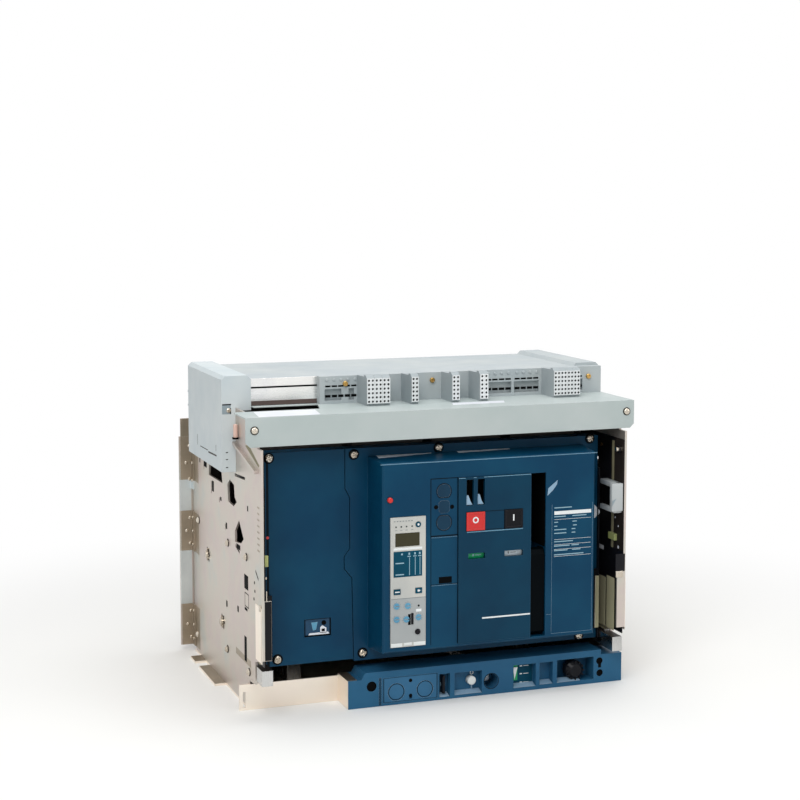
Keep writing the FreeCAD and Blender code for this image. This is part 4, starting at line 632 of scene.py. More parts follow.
# Geometry node trees
def start_tree(name, *inputs):
    """A tree with named inputs. Each is a title, its kind of socket and a default."""
    tree = bpy.data.node_groups.new(name, "GeometryNodeTree")
    tree.interface.new_socket("Geometry", in_out="INPUT", socket_type="NodeSocketGeometry")
    for title, kind, default in inputs:
        socket = tree.interface.new_socket(title, in_out="INPUT", socket_type="NodeSocket" + kind)
        if default is not None:
            socket.default_value = default
    tree.interface.new_socket("Finish", in_out="INPUT", socket_type="NodeSocketMaterial")
    tree.interface.new_socket("Geometry", in_out="OUTPUT", socket_type="NodeSocketGeometry")
    return tree, add(tree, "NodeGroupInput").outputs


def end_tree(tree, given, geometry):
    """Makes the geometry real, gives it the finish and sends it out."""
    real = add(tree, "GeometryNodeRealizeInstances", {"Geometry": geometry})
    dressed = add(tree, "GeometryNodeSetMaterial", {"Geometry": real, "Material": given["Finish"]})
    add(tree, "NodeGroupOutput", {0: dressed})
    return tree


def repeated(tree, given, points, **turns):
    """Ends a tree with its piece on every point."""
    piece = add(tree, "GeometryNodeObjectInfo", {"Object": given["Piece"], "As Instance": True}).outputs["Geometry"]
    placed = add(tree, "GeometryNodeInstanceOnPoints", {"Points": points, "Instance": piece, **turns})
    return end_tree(tree, given, placed)


def spots_tree():
    """Puts a piece on every point, each turned about an axis by its own amount."""
    tree, given = start_tree("Pieces on points", ("Piece", "Object", None), ("Axis", "Vector", (0, 1, 0)),
        ("Spin", "Float", math.pi), ("Seed", "Int", 4))
    spin = add(tree, "FunctionNodeRandomValue", {2: 0.0, 3: given["Spin"], 8: given["Seed"]}, data_type="FLOAT")
    turn = add(tree, "FunctionNodeAxisAngleToRotation", {"Axis": given["Axis"], "Angle": spin.outputs[1]})
    return repeated(tree, given, given["Geometry"], Rotation=turn)


def row_tree():
    """Repeats a piece along a straight row."""
    tree, given = start_tree("Pieces in a row", ("Piece", "Object", None), ("Count", "Int", 2),
        ("Start", "Vector", (0, 0, 0)), ("Step", "Vector", (0, 0, 0)))
    line = add(tree, "GeometryNodeMeshLine",
        {"Count": given["Count"], "Start Location": given["Start"], "Offset": given["Step"]})
    return repeated(tree, given, line)


def ring_tree():
    """Repeats a piece round a circle that looks forwards, over part of a turn."""
    tree, given = start_tree("Pieces in a ring", ("Piece", "Object", None), ("Count", "Int", 9),
        ("Centre", "Vector", (0, 0, 0)), ("From", "Float", 0.0), ("Gap", "Float", 0.5))
    dots = add(tree, "GeometryNodeMeshLine",
        {"Count": given["Count"], "Start Location": given["Centre"], "Offset": (0, 0, 0)})
    number = add(tree, "GeometryNodeInputIndex")
    swing = add(tree, "ShaderNodeMath", {0: number, 1: given["Gap"], 2: given["From"]}, operation="MULTIPLY_ADD")
    turn = add(tree, "FunctionNodeAxisAngleToRotation", {"Axis": (0, 1, 0), "Angle": swing})
    return repeated(tree, given, dots, Rotation=turn)


def coil_tree():
    """Winds a round or ridged section about the Y or X axis."""
    tree, given = start_tree("Coil", ("Turns", "Float", 5.0), ("Radius", "Float", 0.01), ("Length", "Float", 0.1),
        ("Section", "Float", 0.001), ("Sides", "Int", 8), ("Steps", "Int", 24), ("Start", "Vector", (0, 0, 0)),
        ("Turn", "Rotation", None))
    line = add(tree, "GeometryNodeCurveSpiral",
        {"Resolution": given["Steps"], "Rotations": given["Turns"], "Start Radius": given["Radius"],
        "End Radius": given["Radius"], "Height": given["Length"]})
    section = add(tree, "GeometryNodeCurvePrimitiveCircle", {"Resolution": given["Sides"], "Radius": given["Section"]},
        mode="RADIUS")
    tube = add(tree, "GeometryNodeCurveToMesh", {"Curve": line, "Profile Curve": section, "Fill Caps": True})
    laid = add(tree, "GeometryNodeTransform",
        {"Geometry": tube, "Translation": given["Start"], "Rotation": given["Turn"]})
    return end_tree(tree, given, laid)


TREES = {}


def evaluated(thing):
    """The plain mesh that an object's modifiers make. It takes them off."""
    bpy.context.view_layer.update()
    mesh = bpy.data.meshes.new_from_object(thing.evaluated_get(bpy.context.evaluated_depsgraph_get()))
    thing.modifiers.clear()
    return mesh


def grown(name, kind, finish, home, points=(), *replaced, **values):
    """Runs a tree on the given points and fits the plain mesh that it makes."""
    data = bpy.data.meshes.new(name + "_seed")
    data.from_pydata([[c * MM for c in p] for p in points], [], [])
    seed = linked(name + "_seed", data)
    modifier = seed.modifiers.new("Tree", "NODES")
    modifier.node_group = TREES[kind]
    values["Finish"] = finishes[finish]
    for socket in TREES[kind].interface.items_tree:
        if socket.in_out == "INPUT" and socket.name in values:
            modifier[socket.identifier] = values[socket.name]
    mesh = evaluated(seed)
    mesh.name = name
    bpy.data.objects.remove(seed)
    fit(linked(name, mesh), home, *replaced)


SPARES = []


def spare(name, mesh, finish="screw"):
    """A piece that is only there to be repeated, until the spares are cleared."""
    SPARES.append(mesh_object(name, mesh, finish))
    return SPARES[-1]


def spare_round(name, profile, axis, sides=32, finish="screw"):
    """A round spare."""
    mesh = bmesh.new()
    turned(mesh, profile, axis, 0, 0, 0, sides)
    return spare(name, mesh, finish)


def clear_spares():
    """Removes the pieces that were only there to be repeated."""
    while SPARES:
        bpy.data.objects.remove(SPARES.pop())


def cut_away(thing, tool):
    """Cuts one object with another and removes the tool."""
    modifier = thing.modifiers.new("Cut", "BOOLEAN")
    modifier.operation = "DIFFERENCE"
    modifier.solver = "EXACT"
    modifier.object = tool
    thing.data = evaluated(thing)
    bpy.data.objects.remove(tool)


# Pieces
class BREAKER_OT_finishes(bpy.types.Operator):
    """Makes the materials and puts them on the CAD nodes"""
    bl_idname = "breaker.finishes"
    bl_label = "Finishes"

    def execute(self, context):
        make_materials(context)
        for finish, names in NODE_FINISHES.items():
            for name in names:
                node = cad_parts[name]
                if not node.material_slots:
                    node.data.materials.append(None)
                for place in node.material_slots:
                    place.material = finishes[finish]
        TREES.update(spots=spots_tree(), row=row_tree(), ring=ring_tree(), coil=coil_tree())
        return {"FINISHED"}


# Places of the screws along X and Z, of the rivets along Y and Z, and the brackets' feet and tops
COVER_SCREWS = [(-234, 338), (-224, 70), (-117.5, 337), (-106, 68), (2.5, 340), (227.6, 341), (213.5, 62.5)]
CROSSBAR_SCREWS = [(-263.2, 381), (263.6, 382.4)]
BRASS_SCREWS = [(-109, 424), (17, 424), (255, 420.6)]
STAR_RIVETS = [(97.5, 164), (13.5, 86)]
DOME_RIVETS = [(154.5, 203), (-19.5, 204), (-118.5, 204.5), (165.5, 30), (-12.5, 53.5), (-129.5, 52.6)]
BRACKETS = [(8.5, 70.5), (151.2, 211), (244.4, 322)]


def screw_head(name, radius, height, recess, slotted):
    """A pan head on the XZ plane, looking along minus Y, with a slot or a cross in it."""
    head = spare_round(name, [(0, radius), (-height * 0.35, radius), (-height * 0.7, radius * 0.86),
        (-height * 0.93, radius * 0.6), (-height, radius * 0.3), (-height, 0)], "y")
    reach, wide = radius * (1.1 if slotted else 0.62), radius * 0.13
    cuts = [((-reach, -height - 1, -wide), (reach, -height + recess, wide))]
    if not slotted:
        cuts.append(((-wide, -height - 1, -reach), (wide, -height + recess * 0.98, reach)))
    for low, high in cuts:
        mesh = bmesh.new()
        block(mesh, low, high)
        cut_away(head, mesh_object(name + "_cut", mesh, "screw"))
    return head


def scaled(shape, side, size):
    """A rivet's profile on one side of the breaker, from radii as shares of its size."""
    return [(side * reach, radius * size) for reach, radius in shape]


def side_rivets(size, dome_size):
    """The rivets in the side plates and the painted shadows under them."""
    angles = [2 * math.pi * i / 24 for i in range(24)]
    reaches = [size * (0.66 + 0.34 * math.cos(6 * a)) for a in angles]
    star = [(r * math.cos(a), r * math.sin(a)) for r, a in zip(reaches, angles)]
    for side, word in SIDES:
        mesh = bmesh.new()
        drawn(mesh, star, "x", 0, side * 2.2)
        turned(mesh, scaled(((0, 0.62), (3.6, 0.6), (4.4, 0.42), (4.6, 0)), side, size), "x", 0, 0, 0, 20)
        rivet = spare("star_rivet", mesh)
        shape = ((0, 0.9), (1.2, 1), (2.8, 0.82), (4.0, 0.5), (4.4, 0))
        dome = spare_round("dome_rivet", scaled(shape, side, dome_size), "x", 24)
        face = side * PLATE_OUTER
        # Dark discs and stars under the rivets: painted shadow.
        mesh = bmesh.new()
        for y, z in DOME_RIVETS:
            turned(mesh, disc(5.6, -side * 0.35, -side * 0.2), "x", y, z, face, 24)
        for y, z in STAR_RIVETS:
            shadow_outline = [(y + u * 1.25, z + v * 1.25) for u, v in star]
            drawn(mesh, shadow_outline, "x", face - side * 0.2, face + side * 0.5)
        put("rivet_collars_" + word, mesh, "brown_shade", STEEL)
        for kind, piece, places in (("star", rivet, STAR_RIVETS), ("dome", dome, DOME_RIVETS)):
            grown("%s_rivets_%s" % (kind, word), "spots", "screw", STEEL, [(face, y, z) for y, z in places],
                "side_bolts", Piece=piece, Axis=(1, 0, 0), Seed=5)


def bracket_rivets(size):
    """The rivets in the rear brackets and their flanges."""
    wide, back = corners("rear_brackets")[1][:2]
    shape = ((0, 1), (0.6, 1), (1.3, 0.7), (1.6, 0))
    points = []
    for side in (-1, 1):
        for bottom, top in BRACKETS:
            points.append((side * (wide - 8), back - 2, (bottom + top) / 2))
            for share in (0.18, 0.82):
                points.append((side * (wide - 13), back - 2, bottom + (top - bottom) * share))
    grown("flange_rivets", "spots", "screw", STEEL, points,
        Piece=spare_round("round_rivet", scaled(shape, -1, size), "y", 16))
    face, middle = 260.5, 187
    for side, word in SIDES:
        points = [(side * face, middle, bottom + (top - bottom) * share) for bottom, top in BRACKETS
            for share in (0.16, 0.5, 0.84)]
        grown("bracket_rivets_" + word, "spots", "screw", STEEL, points, Axis=(1, 0, 0),
            Piece=spare_round("round_rivet", scaled(shape, side, size), "x", 16))


class BREAKER_OT_fasteners(bpy.types.Operator):
    """Makes the cover screws, crossbar screws, terminal screws and rivets"""
    bl_idname = "breaker.fasteners"
    bl_label = "Screws and rivets"

    def execute(self, context):
        sizes = context.scene.breaker_fasteners
        recess = sizes.recess / MM
        low, high = corners("cover_screws")
        pan = screw_head("pan_head", sizes.screw / MM, high[1] - low[1], recess, False)
        grown("cover_screw_heads", "spots", "screw", ("breaker", "screw_steel"),
            [(x, high[1], z) for x, z in COVER_SCREWS], "cover_screws", Piece=pan, Seed=3)
        # Dark discs round the cover screws: painted shadow.
        rounds("cover_screw_wells", disc(7.2, 0.3, 0.2), "y", [(z, x, high[1]) for x, z in COVER_SCREWS], 28,
            "dark", BLACK)
        slotted = screw_head("slotted_head", sizes.bar_screw / MM, 3.0, recess, True)
        grown("crossbar_screw_heads", "spots", "screw", STEEL, [(x, CROSSBAR_FACE, z) for x, z in CROSSBAR_SCREWS],
            "chassis_screws", Piece=slotted, Seed=8)
        # Dark discs round the crossbar screws: painted shadow.
        rounds("crossbar_screw_wells", disc(5.6, 0.3, 0.2), "y", [(z, x, CROSSBAR_FACE) for x, z in CROSSBAR_SCREWS],
            28, "brown_shade", STEEL)
        r = sizes.brass / MM
        socket = spare_round("socket_head",
            [(0, r), (-2.2, r), (-3, r * 0.85), (-3, r * 0.45), (-1.4, r * 0.45), (-1.4, 0)], "y", finish="brass")
        face = corners("terminal_base")[0][1]
        grown("terminal_screw_heads", "spots", "brass", STEEL, [(x, face, z) for x, z in BRASS_SCREWS],
            "chassis_screws", Piece=socket)
        side_rivets(sizes.rivet / MM, sizes.dome / MM)
        bracket_rivets(sizes.small_rivet / MM)
        clear_spares()
        return {"FINISHED"}


# The plug-in terminals: left and right edge, and columns of holes
TERMINALS = [(-92, -59, 6), (-28.5, -18.3, 2), (30.3, 41.3, 2), (71, 83.4, 2), (182, 222, 8)]
BAYS = [(-138, -92), (96, 136), (140, 178), (228, 246)]


class BREAKER_OT_terminals(bpy.types.Operator):
    """Makes the secondary terminals, their base's tabs and slots"""
    bl_idname = "breaker.terminals"
    bl_label = "Secondary terminals"

    def execute(self, context):
        sizes = context.scene.breaker_terminals
        low, high = corners("terminal_blocks")
        front, back, foot, top = low[1], high[1], low[2], high[2]
        plate, seam, hole = sizes.front / MM, sizes.seam / MM, sizes.hole / MM
        bodies, fronts, hole_shades = bmesh.new(), bmesh.new(), bmesh.new()
        side = [(back, foot), (front + 3.4, foot), (front + plate + 0.4, foot + 3), (front + plate + 0.4, top - 4),
            (front + 6.5, top), (front + 13, top), (front + 14, top - 2.4), (back, top - 3)]
        for left, right, columns in TERMINALS:
            pairs = columns // 2
            width = (right - left) / pairs
            for i in range(pairs):
                x0, x1 = left + i * width + seam / 2, left + (i + 1) * width - seam / 2
                drawn(bodies, side, "x", x0, x1)
                perforated(fronts, x0, foot + 3, (x1 - x0) / 2, (top - foot - 7) / sizes.rows, 2, sizes.rows, hole,
                    front, front + plate)
                # A black sheet behind the wire holes: painted shade inside them.
                block(hole_shades, (x0 + 0.2, front + plate, foot + 3.2), (x1 - 0.2, front + plate + 0.35, top - 4.2))
        for name, mesh, finish in (("bodies", bodies, "terminal"), ("fronts", fronts, "terminal_front"),
                ("holes", hole_shades, "dark")):
            put("terminal_" + name, mesh, finish, TERMINAL, "terminal_blocks")

        low, high = corners("terminal_base")
        r = sizes.tab / MM
        tab = spare_round("tab", [(0, r), (-1.2, r), (-1.6, r * 0.8), (-1.6, 0)], "y", 16, "hood")
        pitch = 10.0
        slots = []
        for number, (left, right) in enumerate(BAYS):
            count = int((right - left - 2) // pitch) + 1
            start = ((left + right) / 2 - (count - 1) * pitch / 2) * MM
            grown("marker_tabs_%d" % number, "row", "hood", HOOD, Piece=tab, Count=count,
                Start=(start, low[1] * MM, (high[2] - 5) * MM), Step=(pitch * MM, 0.0, 0.0))
            count = max(1, round((right - left) / pitch))
            width = (right - left) / count
            wall = 0.8
            for i in range(count):
                x0, x1 = left + i * width + wall, left + (i + 1) * width - wall
                slots += [(x0, x1, high[2] - 15, high[2] - 12.6), (x0, x1, high[2] - 29.0, high[2] - 25.4)]
        clear_spares()
        # Black strips in the base's slots: painted shade.
        prints("base_slots", slots, low[1], "dark", HOOD)
        low, high = corners("terminal_rail")
        end = -145.2
        # A black line in the rail's groove: painted shade.
        prints("rail_groove", [(low[0], end, 421, 423.2)], low[1], "dark", RAIL)
        prints("rail_foot", [(low[0], end, low[2], 404)], low[1], "brown", RAIL)
        tray = corners("front_crossbar")[1][2]
        patches = [[(-256, -179), (-174, -179), (-167, -131), (-250, -127.5)],
            [(21, -149.5), (97, -148.5), (104, -128), (27.5, -129)]]
        shapes("bare_labels", patches, "z", tray - 0.05, tray + 0.08, "label", ENAMEL)
        return {"FINISHED"}


class BREAKER_OT_trip_unit(bpy.types.Operator):
    """Dresses the trip unit with its display, legends, lamps and dial scales"""
    bl_idname = "breaker.trip_unit"
    bl_label = "Trip unit"

    def execute(self, context):
        face = TRIP_FACE
        low, high = corners("trip_unit")
        left, right = low[0] + 4, high[0] - 5
        prints("display_line", [(left, right, 215.6, 218.4)], face, "ink", TRIP)
        prints("bar_graph_field", [(left, right, 179.5, 213.7)], face, "teal", TRIP)
        bars = []
        for x in (-58.7, -50.7, -44.0):
            bars.append((x, x + 0.8, 181.5, 205))
            bars.append((x - 2.4, x + 2.2, 206, 207.2))
            bars.append((x - 1.0, x + 1.2, 208.6, 211.5))
        bars += [(-77.8, -66, 197.4, 198.8), (-77.8, -66, 182.2, 183.6), (-70, -67.6, 208.8, 211)]
        prints("dial_field", [(low[0] + 0.4, high[0] - 0.4, low[2] + 5.6, 150.4)], face, "trip_low", TRIP, 0.05)
        prints("field_line", [(low[0] + 0.4, high[0] - 0.4, 150.4, 151.0)], face, "grey_ink", TRIP)
        prints("dial_frames", [(-60.2, -52.0, 128.6, 129.2), (-60.2, -56.6, 114.6, 128.8)], face, "dark", TRIP)
        prints("bar_graph_lines", bars, face - INK, "pale_ink", TRIP)
        lamps = (-77, -69.8, -62.4, -54.6)
        rounds("lamps", [(0.2, 1.1), (-0.3, 1.1), (-0.6, 0.7), (-0.7, 0)], "y", [(246.5, x, face) for x in lamps], 16,
            "led", TRIP)
        marks = [(x - 1.6, x + 1.6, 241.6, 242.2) for x in lamps]
        for centre in range(-80, -52, 4):
            marks.append((centre, centre + 2.2, 253.4, 254.4))
        prints("lamp_marks", marks, face, "grey_ink", TRIP)
        x, z, front = front_centre("menu_key_left")
        prints("menu_key_left_mark", [(x - 3.2, x + 3.2, z - 0.7, z + 0.7)], front, "ink",
            ("menu_key_left", "teal_key"))
        x, z, front = front_centre("menu_key_right")
        shapes("menu_key_right_mark",
            [[(z - 1.4, x - 1.8), (z + 1.4, x - 1.8), (z + 1.4, x + 0.4), (z, x + 2.2), (z - 1.4, x + 0.4)]], "y",
            front - INK, front + INK, "ink", ("menu_key_right", "teal_key"))
        x, z, front = front_centre("test_key")
        rounds("test_key_mark", [(0.1, 1.5), (-INK, 1.5)], "y", [(z, x, front)], 20, "ink", ("test_key", "teal_key"))
        mesh = bmesh.new()
        block(mesh, (-0.15, -INK, 5.0), (0.15, INK, 6.4))
        tick = spare("tick", mesh, "grey_ink")
        for i in range(1, 6):
            x, z, front = front_centre("dial_%d" % i)
            grown("dial_scale_%d" % i, "ring", "grey_ink", TRIP, Piece=tick, Count=9,
                Centre=(x * MM, face * MM, z * MM), From=-math.radians(135), Gap=math.radians(270 / 8))
        clear_spares()
        mesh = bmesh.new()
        turned(mesh, [(0.2, 3.9), (-0.6, 3.9), (-0.6, 3.2), (-2.2, 3.0), (-2.4, 2.4), (-2.4, 0)], "y", 104.8, -46.8,
            face, 24)
        block(mesh, (-47.6, face - 3.1, 101.9), (-46.0, face - 2.0, 107.7), 0.3)
        put("test_socket_plug", mesh, "black", BLACK)
        rounds("cover_catch", disc(1.4, 0.2), "y", [(139.6, -45.4, face)], 16, "dark", BLACK)
        prints("small_label", [(-49, -41.5, 131.6, 135.2)], face, "ink", TRIP)
        foot = [((low[0] + 0.3, face - 0.5, low[2] + 0.4), (-68.5, face + 0.2, low[2] + 5.4)),
            ((-66, face - 0.5, low[2] + 1.8), (-55, face + 0.2, low[2] + 5.4)),
            ((-52.5, face - 0.5, low[2] + 0.4), (high[0] - 0.3, face + 0.2, low[2] + 5.4))]
        plates("foot_strip", foot, "white", TRIP, 0.2)
        return {"FINISHED"}


class BREAKER_OT_controls(bpy.types.Operator):
    """Dresses the control panel, its buttons, flags and padlock slots"""
    bl_idname = "breaker.controls"
    bl_label = "Controls"

    def execute(self, context):
        marks = context.scene.breaker_marks
        x, z, front = front_centre("off_button")
        z, dish = z + 1.6, front + 0.6
        rounds("off_mark", [(0.1, 4.3), (-INK, 4.3), (-INK, 2.5), (0.1, 2.5)], "y", [(z, x, dish)], 32, "ink",
            ("off_button", "red_button"))
        x = front_centre("on_button")[0]
        prints("on_mark", [(x - 0.9, x + 0.9, z - 4.3, z + 4.3)], dish, "ink", ("on_button", "black_moulding"))
        stripe = marks.stripe / MM
        low, high = corners("control_panel")
        prints("panel_stripe", [(45, high[0] - 0.2, 115 - stripe / 2, 115 + stripe / 2)], PANEL_FACE, "ink", PANEL)
        # Thin ledges painted pale as highlights along the panel's edges.
        ledge_highlights = [((22.6, PANEL_FACE - 0.7, 232.2), (103.6, PANEL_FACE + 0.3, 233.4))]
        for left, right in ((low[0] + 0.2, 20.4), (32.2, 36.2), (46.8, high[0] - 0.4)):
            ledge_highlights.append(((left, PANEL_FACE - 0.4, high[2] - 0.9), (right, PANEL_FACE + 0.3, high[2] - 0.1)))
        plates("panel_ledges", ledge_highlights, "worn", PANEL, 0.2)
        prints("button_bridge", [(48.8, 76.6, 259.2, 260.0), (48.8, 76.6, 234.6, 235.2)], PANEL_FACE, "seam", PANEL)
        lines("button_rims", [(21.2, 49, 233.9, 260.3), (76.2, 103.8, 233.9, 260.3)], 1.0, PANEL_FACE, "seam", PANEL)
        # Sloped wedges painted pale as a highlight.
        wedges = [[(269.2, 22.2), (282, 22.8), (282, 25.4), (274, 28.4), (269.2, 31.4)],
            [(269.2, 38.2), (282.8, 38.8), (282.8, 41.4), (274, 44.4), (269.2, 47.4)]]
        shapes("padlock_wedges", wedges, "y", -194.6, -191.4, "sill_highlight", PANEL)
        # The other state of each flag is on the drum, one swing below the window, and turns up into it.
        for flag, slot, ink, at, field, sign, left, right, reach in (
                ("contact_flag", "green_flag", "pale_ink", 33, "label", "dark", 35.4, 37, 13),
                ("charge_flag", "pale_flag", "grey_ink", 84, "yellow", "ink", 86, 96, 3)):
            a, b = corners(flag)
            home = (flag, slot)
            prints(flag + "_mark", [(at, at + 2.2, 198.6, 201.6), (at + 4, at + 12, 199.6, 200.6)], a[1],
                ink, home, 0.1)
            shapes(flag + "_field", [drum_arc(a, b, INK, -FLAG_SWING - 24, -FLAG_SWING + 24)], "x",
                a[0] + 0.1, b[0] - 0.1, field, home)
            shapes(flag + "_sign", [drum_arc(a, b, 0.2, -FLAG_SWING - reach, -FLAG_SWING + reach)], "x",
                left, right, sign, home)
        prints("counter_window", [(-16.2, 2.2, 166.2, 174.8)], COVER_FACE, "dark", BLACK)
        x, z, front = front_centre("reset_button")
        rounds("reset_dome", [(0.6, 3.4), (-0.5, 3.4), (-1.3, 2.6), (-1.6, 0)], "y", [(z, x, front)], 24, "red",
            ("reset_button", "red_button"))
        return {"FINISHED"}


def cover_seams(face):
    """Door seams, knock-outs, holes painted dark as shade, and a dent of the front cover with a painted highlight."""
    seams = [(-27.9, -27.1, 84, 229.4), (10.0, 10.9, 84, 307.4), (-28.2, -27.1, 229.4, 307.2),
        (-28.2, 10.4, 306.3, 307.4), (-28.2, 10.9, 229.4, 231.2), (-27.9, 10.4, 164.6, 165.4)]
    prints("door_seams", seams, face, "seam", COVER)
    knock_outs = [half_round(-9.1, 289.6, 11, 280.5), half_round(-9.0, 248, 11.4, 258.2)]
    lines("knock_out_grooves", knock_outs, 1.1, face, "seam", COVER)
    shades = [[(z, x) for x, z in half_round(-9.1, 289.6, 9.9, 281.6)],
        [(z, x) for x, z in half_round(-9.0, 248, 10.3, 257.1)]]
    shapes("knock_out_discs", shades, "y", face - 0.1, face + 0.1, "knock_out", COVER)
    shapes("lock_cover_bridge",
        [[(262.6, -16.5), (275.4, -16.5), (277.6, -12.5), (277.6, -5.5), (275.4, -1.5), (262.6, -1.5), (260.4, -5.5),
        (260.4, -12.5)]], "y", face - 0.1, face + 0.1, "knock_out", COVER)
    # Black discs in the holes: painted shade.
    rounds("lock_cover_holes", disc(2.9), "y", [(269, -20.4, face), (268.3, 2.3, face)], 20, "dark", COVER)
    # A pale patch beside the handle's recess: painted highlight on a thumb dent.
    shapes("thumb_dent", [[(274.5, 140.6), (284.5, 141.8), (295.1, 155.5), (289.0, 154.4), (281.6, 148.6)]], "y",
        face - INK, face + 0.1, "sill_highlight", COVER)


def cover_ridges(face):
    """Flats of painted highlight, ridges and a top edge painted paler as highlights, and the painted shade lining the
    handle's recess.
    """
    # The flats are white plates of painted highlight, and follow the four-degree slope of the covers' tops.
    slope = math.tan(math.radians(4))
    mesh = bmesh.new()
    for flat in ([(-87, -145), (-9, -145), (-9.4, -148.5), (-88, -160)],
            [(28, -145), (104.8, -145), (104.6, -150), (27, -154.5)]):
        top = [mesh.verts.new((x, y, 334.05 + slope * (y + 143.9))) for x, y in flat]
        foot = [mesh.verts.new((v.co.x, v.co.y, v.co.z - 0.5)) for v in top]
        mesh.faces.new(top)
        mesh.faces.new(foot)
        between(mesh, top, foot)
    put("polished_flats", mesh, "label", COVER)
    # Ridges and the cover's top edge painted paler as highlights.
    ridges = [((-26.6, face - 0.4, 227.8), (9.6, face + 0.3, 228.8)),
        ((-26.6, face - 0.4, 163.4), (9.4, face + 0.3, 164.4)), ((147.2, face - 0.3, 84.2), (147.8, face + 0.3, 262)),
        ((147.2, face - 0.3, 83.6), (208.4, face + 0.3, 84.2)), ((207.8, face - 0.3, 84.2), (208.4, face + 0.3, 262)),
        ((140, face - 0.3, 110.6), (147.4, face + 0.3, 111.2))]
    plates("cover_ridges", ridges, "ridge_highlight", COVER, 0.1)
    plates("cover_top_edge", [((-97.6, face - 0.1, 329.0), (214.4, face + 0.4, 329.8))], "worn", COVER)
    # Black sheets on the recess's walls: painted shade.
    recess_shade = [((117, -150, 204.5), (138.2, -149.4, 306)), ((116.9, -192, 204.5), (117.2, -150, 306)),
        ((137.9, -192, 204.5), (138.2, -150, 306))]
    plates("handle_recess_liner", recess_shade, "dark", BLACK)


def rating_field(face):
    """The white field with rows of plain dashes."""
    left, right = 151, 206
    field = [(left, right, 247.5, 252.3)]
    field += [(left, right, z, z + 0.35) for z in (240.8, 213.2, 206.2, 199.7, 190.0)]
    prints("rating_field", field, face, "ink", COVER)
    dashes = []
    for z, first, start, second in ((256.4, 26, 0, 0), (244.3, 17, 27, 21), (236.6, 5.5, 27, 6.5),
            (231.2, 4.5, 28, 5.5), (226.3, 18, 26, 5.5), (221.4, 18, 26, 5.5), (209.9, 28, 0, 0), (203.9, 23, 26, 11),
            (197.7, 20, 27, 12.5), (191.9, 44, 0, 0)):
        dashes.append((left, left + first, z, z + 1.2))
        if second:
            dashes.append((left + start, left + start + second, z, z + 1.2))
    prints("rating_marks", dashes, face, "pale_ink", COVER)


def pole_window(window):
    """The little window in the fourth pole's cover."""
    prints("pole_window_plate", [(-186.5, -150.5, 96.5, 119.5)], window - 0.1, "window", COVER)
    shapes("pole_window_mark", [[(115, -177), (115, -168), (105, -170.4), (104, -174.6)]], "y", window - 0.5, window,
        "dial", COVER)
    # The lower strip is a painted highlight on the window's sill; the other shape is a white mark.
    shapes("pole_window_sill",
        [[(98, -181), (98, -152), (101, -153.6), (100.6, -179.4)],
        [(100, -164.6), (107.6, -164.6), (110, -161.6), (106.4, -156), (100, -156)]], "y", window - 0.6, window,
        "label", COVER)
    prints("pole_window_shade", [(-187, -150, 96, 98), (-187, -185.2, 96, 120), (-151.6, -150, 96, 120),
        (-187, -150, 119, 120), (-162.8, -158.2, 102, 105.6)], window - 0.7, "dark", COVER, 0.1)
    # A black disc in the hole: painted shade.
    rounds("pole_window_hole", disc(3.1, 0.3), "y", [(113.6, -159.6, window - 0.5)], 20, "dark", COVER)


class BREAKER_OT_covers(bpy.types.Operator):
    """Puts seams, ridges and the plain rating field on the covers"""
    bl_idname = "breaker.covers"
    bl_label = "Covers"

    def execute(self, context):
        pole_face = corners("fourth_pole_cover")[0][1]
        cover_seams(COVER_FACE)
        cover_ridges(COVER_FACE)
        rating_field(COVER_FACE)
        rounds("latch_dot", disc(1.9, 0.4), "y", [(233.4, -236.3, pole_face)], 20, "red", ("breaker", "red_button"))
        prints("pole_cover_shade", [(-238, -234.6, 61.5, 344.5)], pole_face, "seam", COVER)
        pole_window(pole_face + 2)
        return {"FINISHED"}


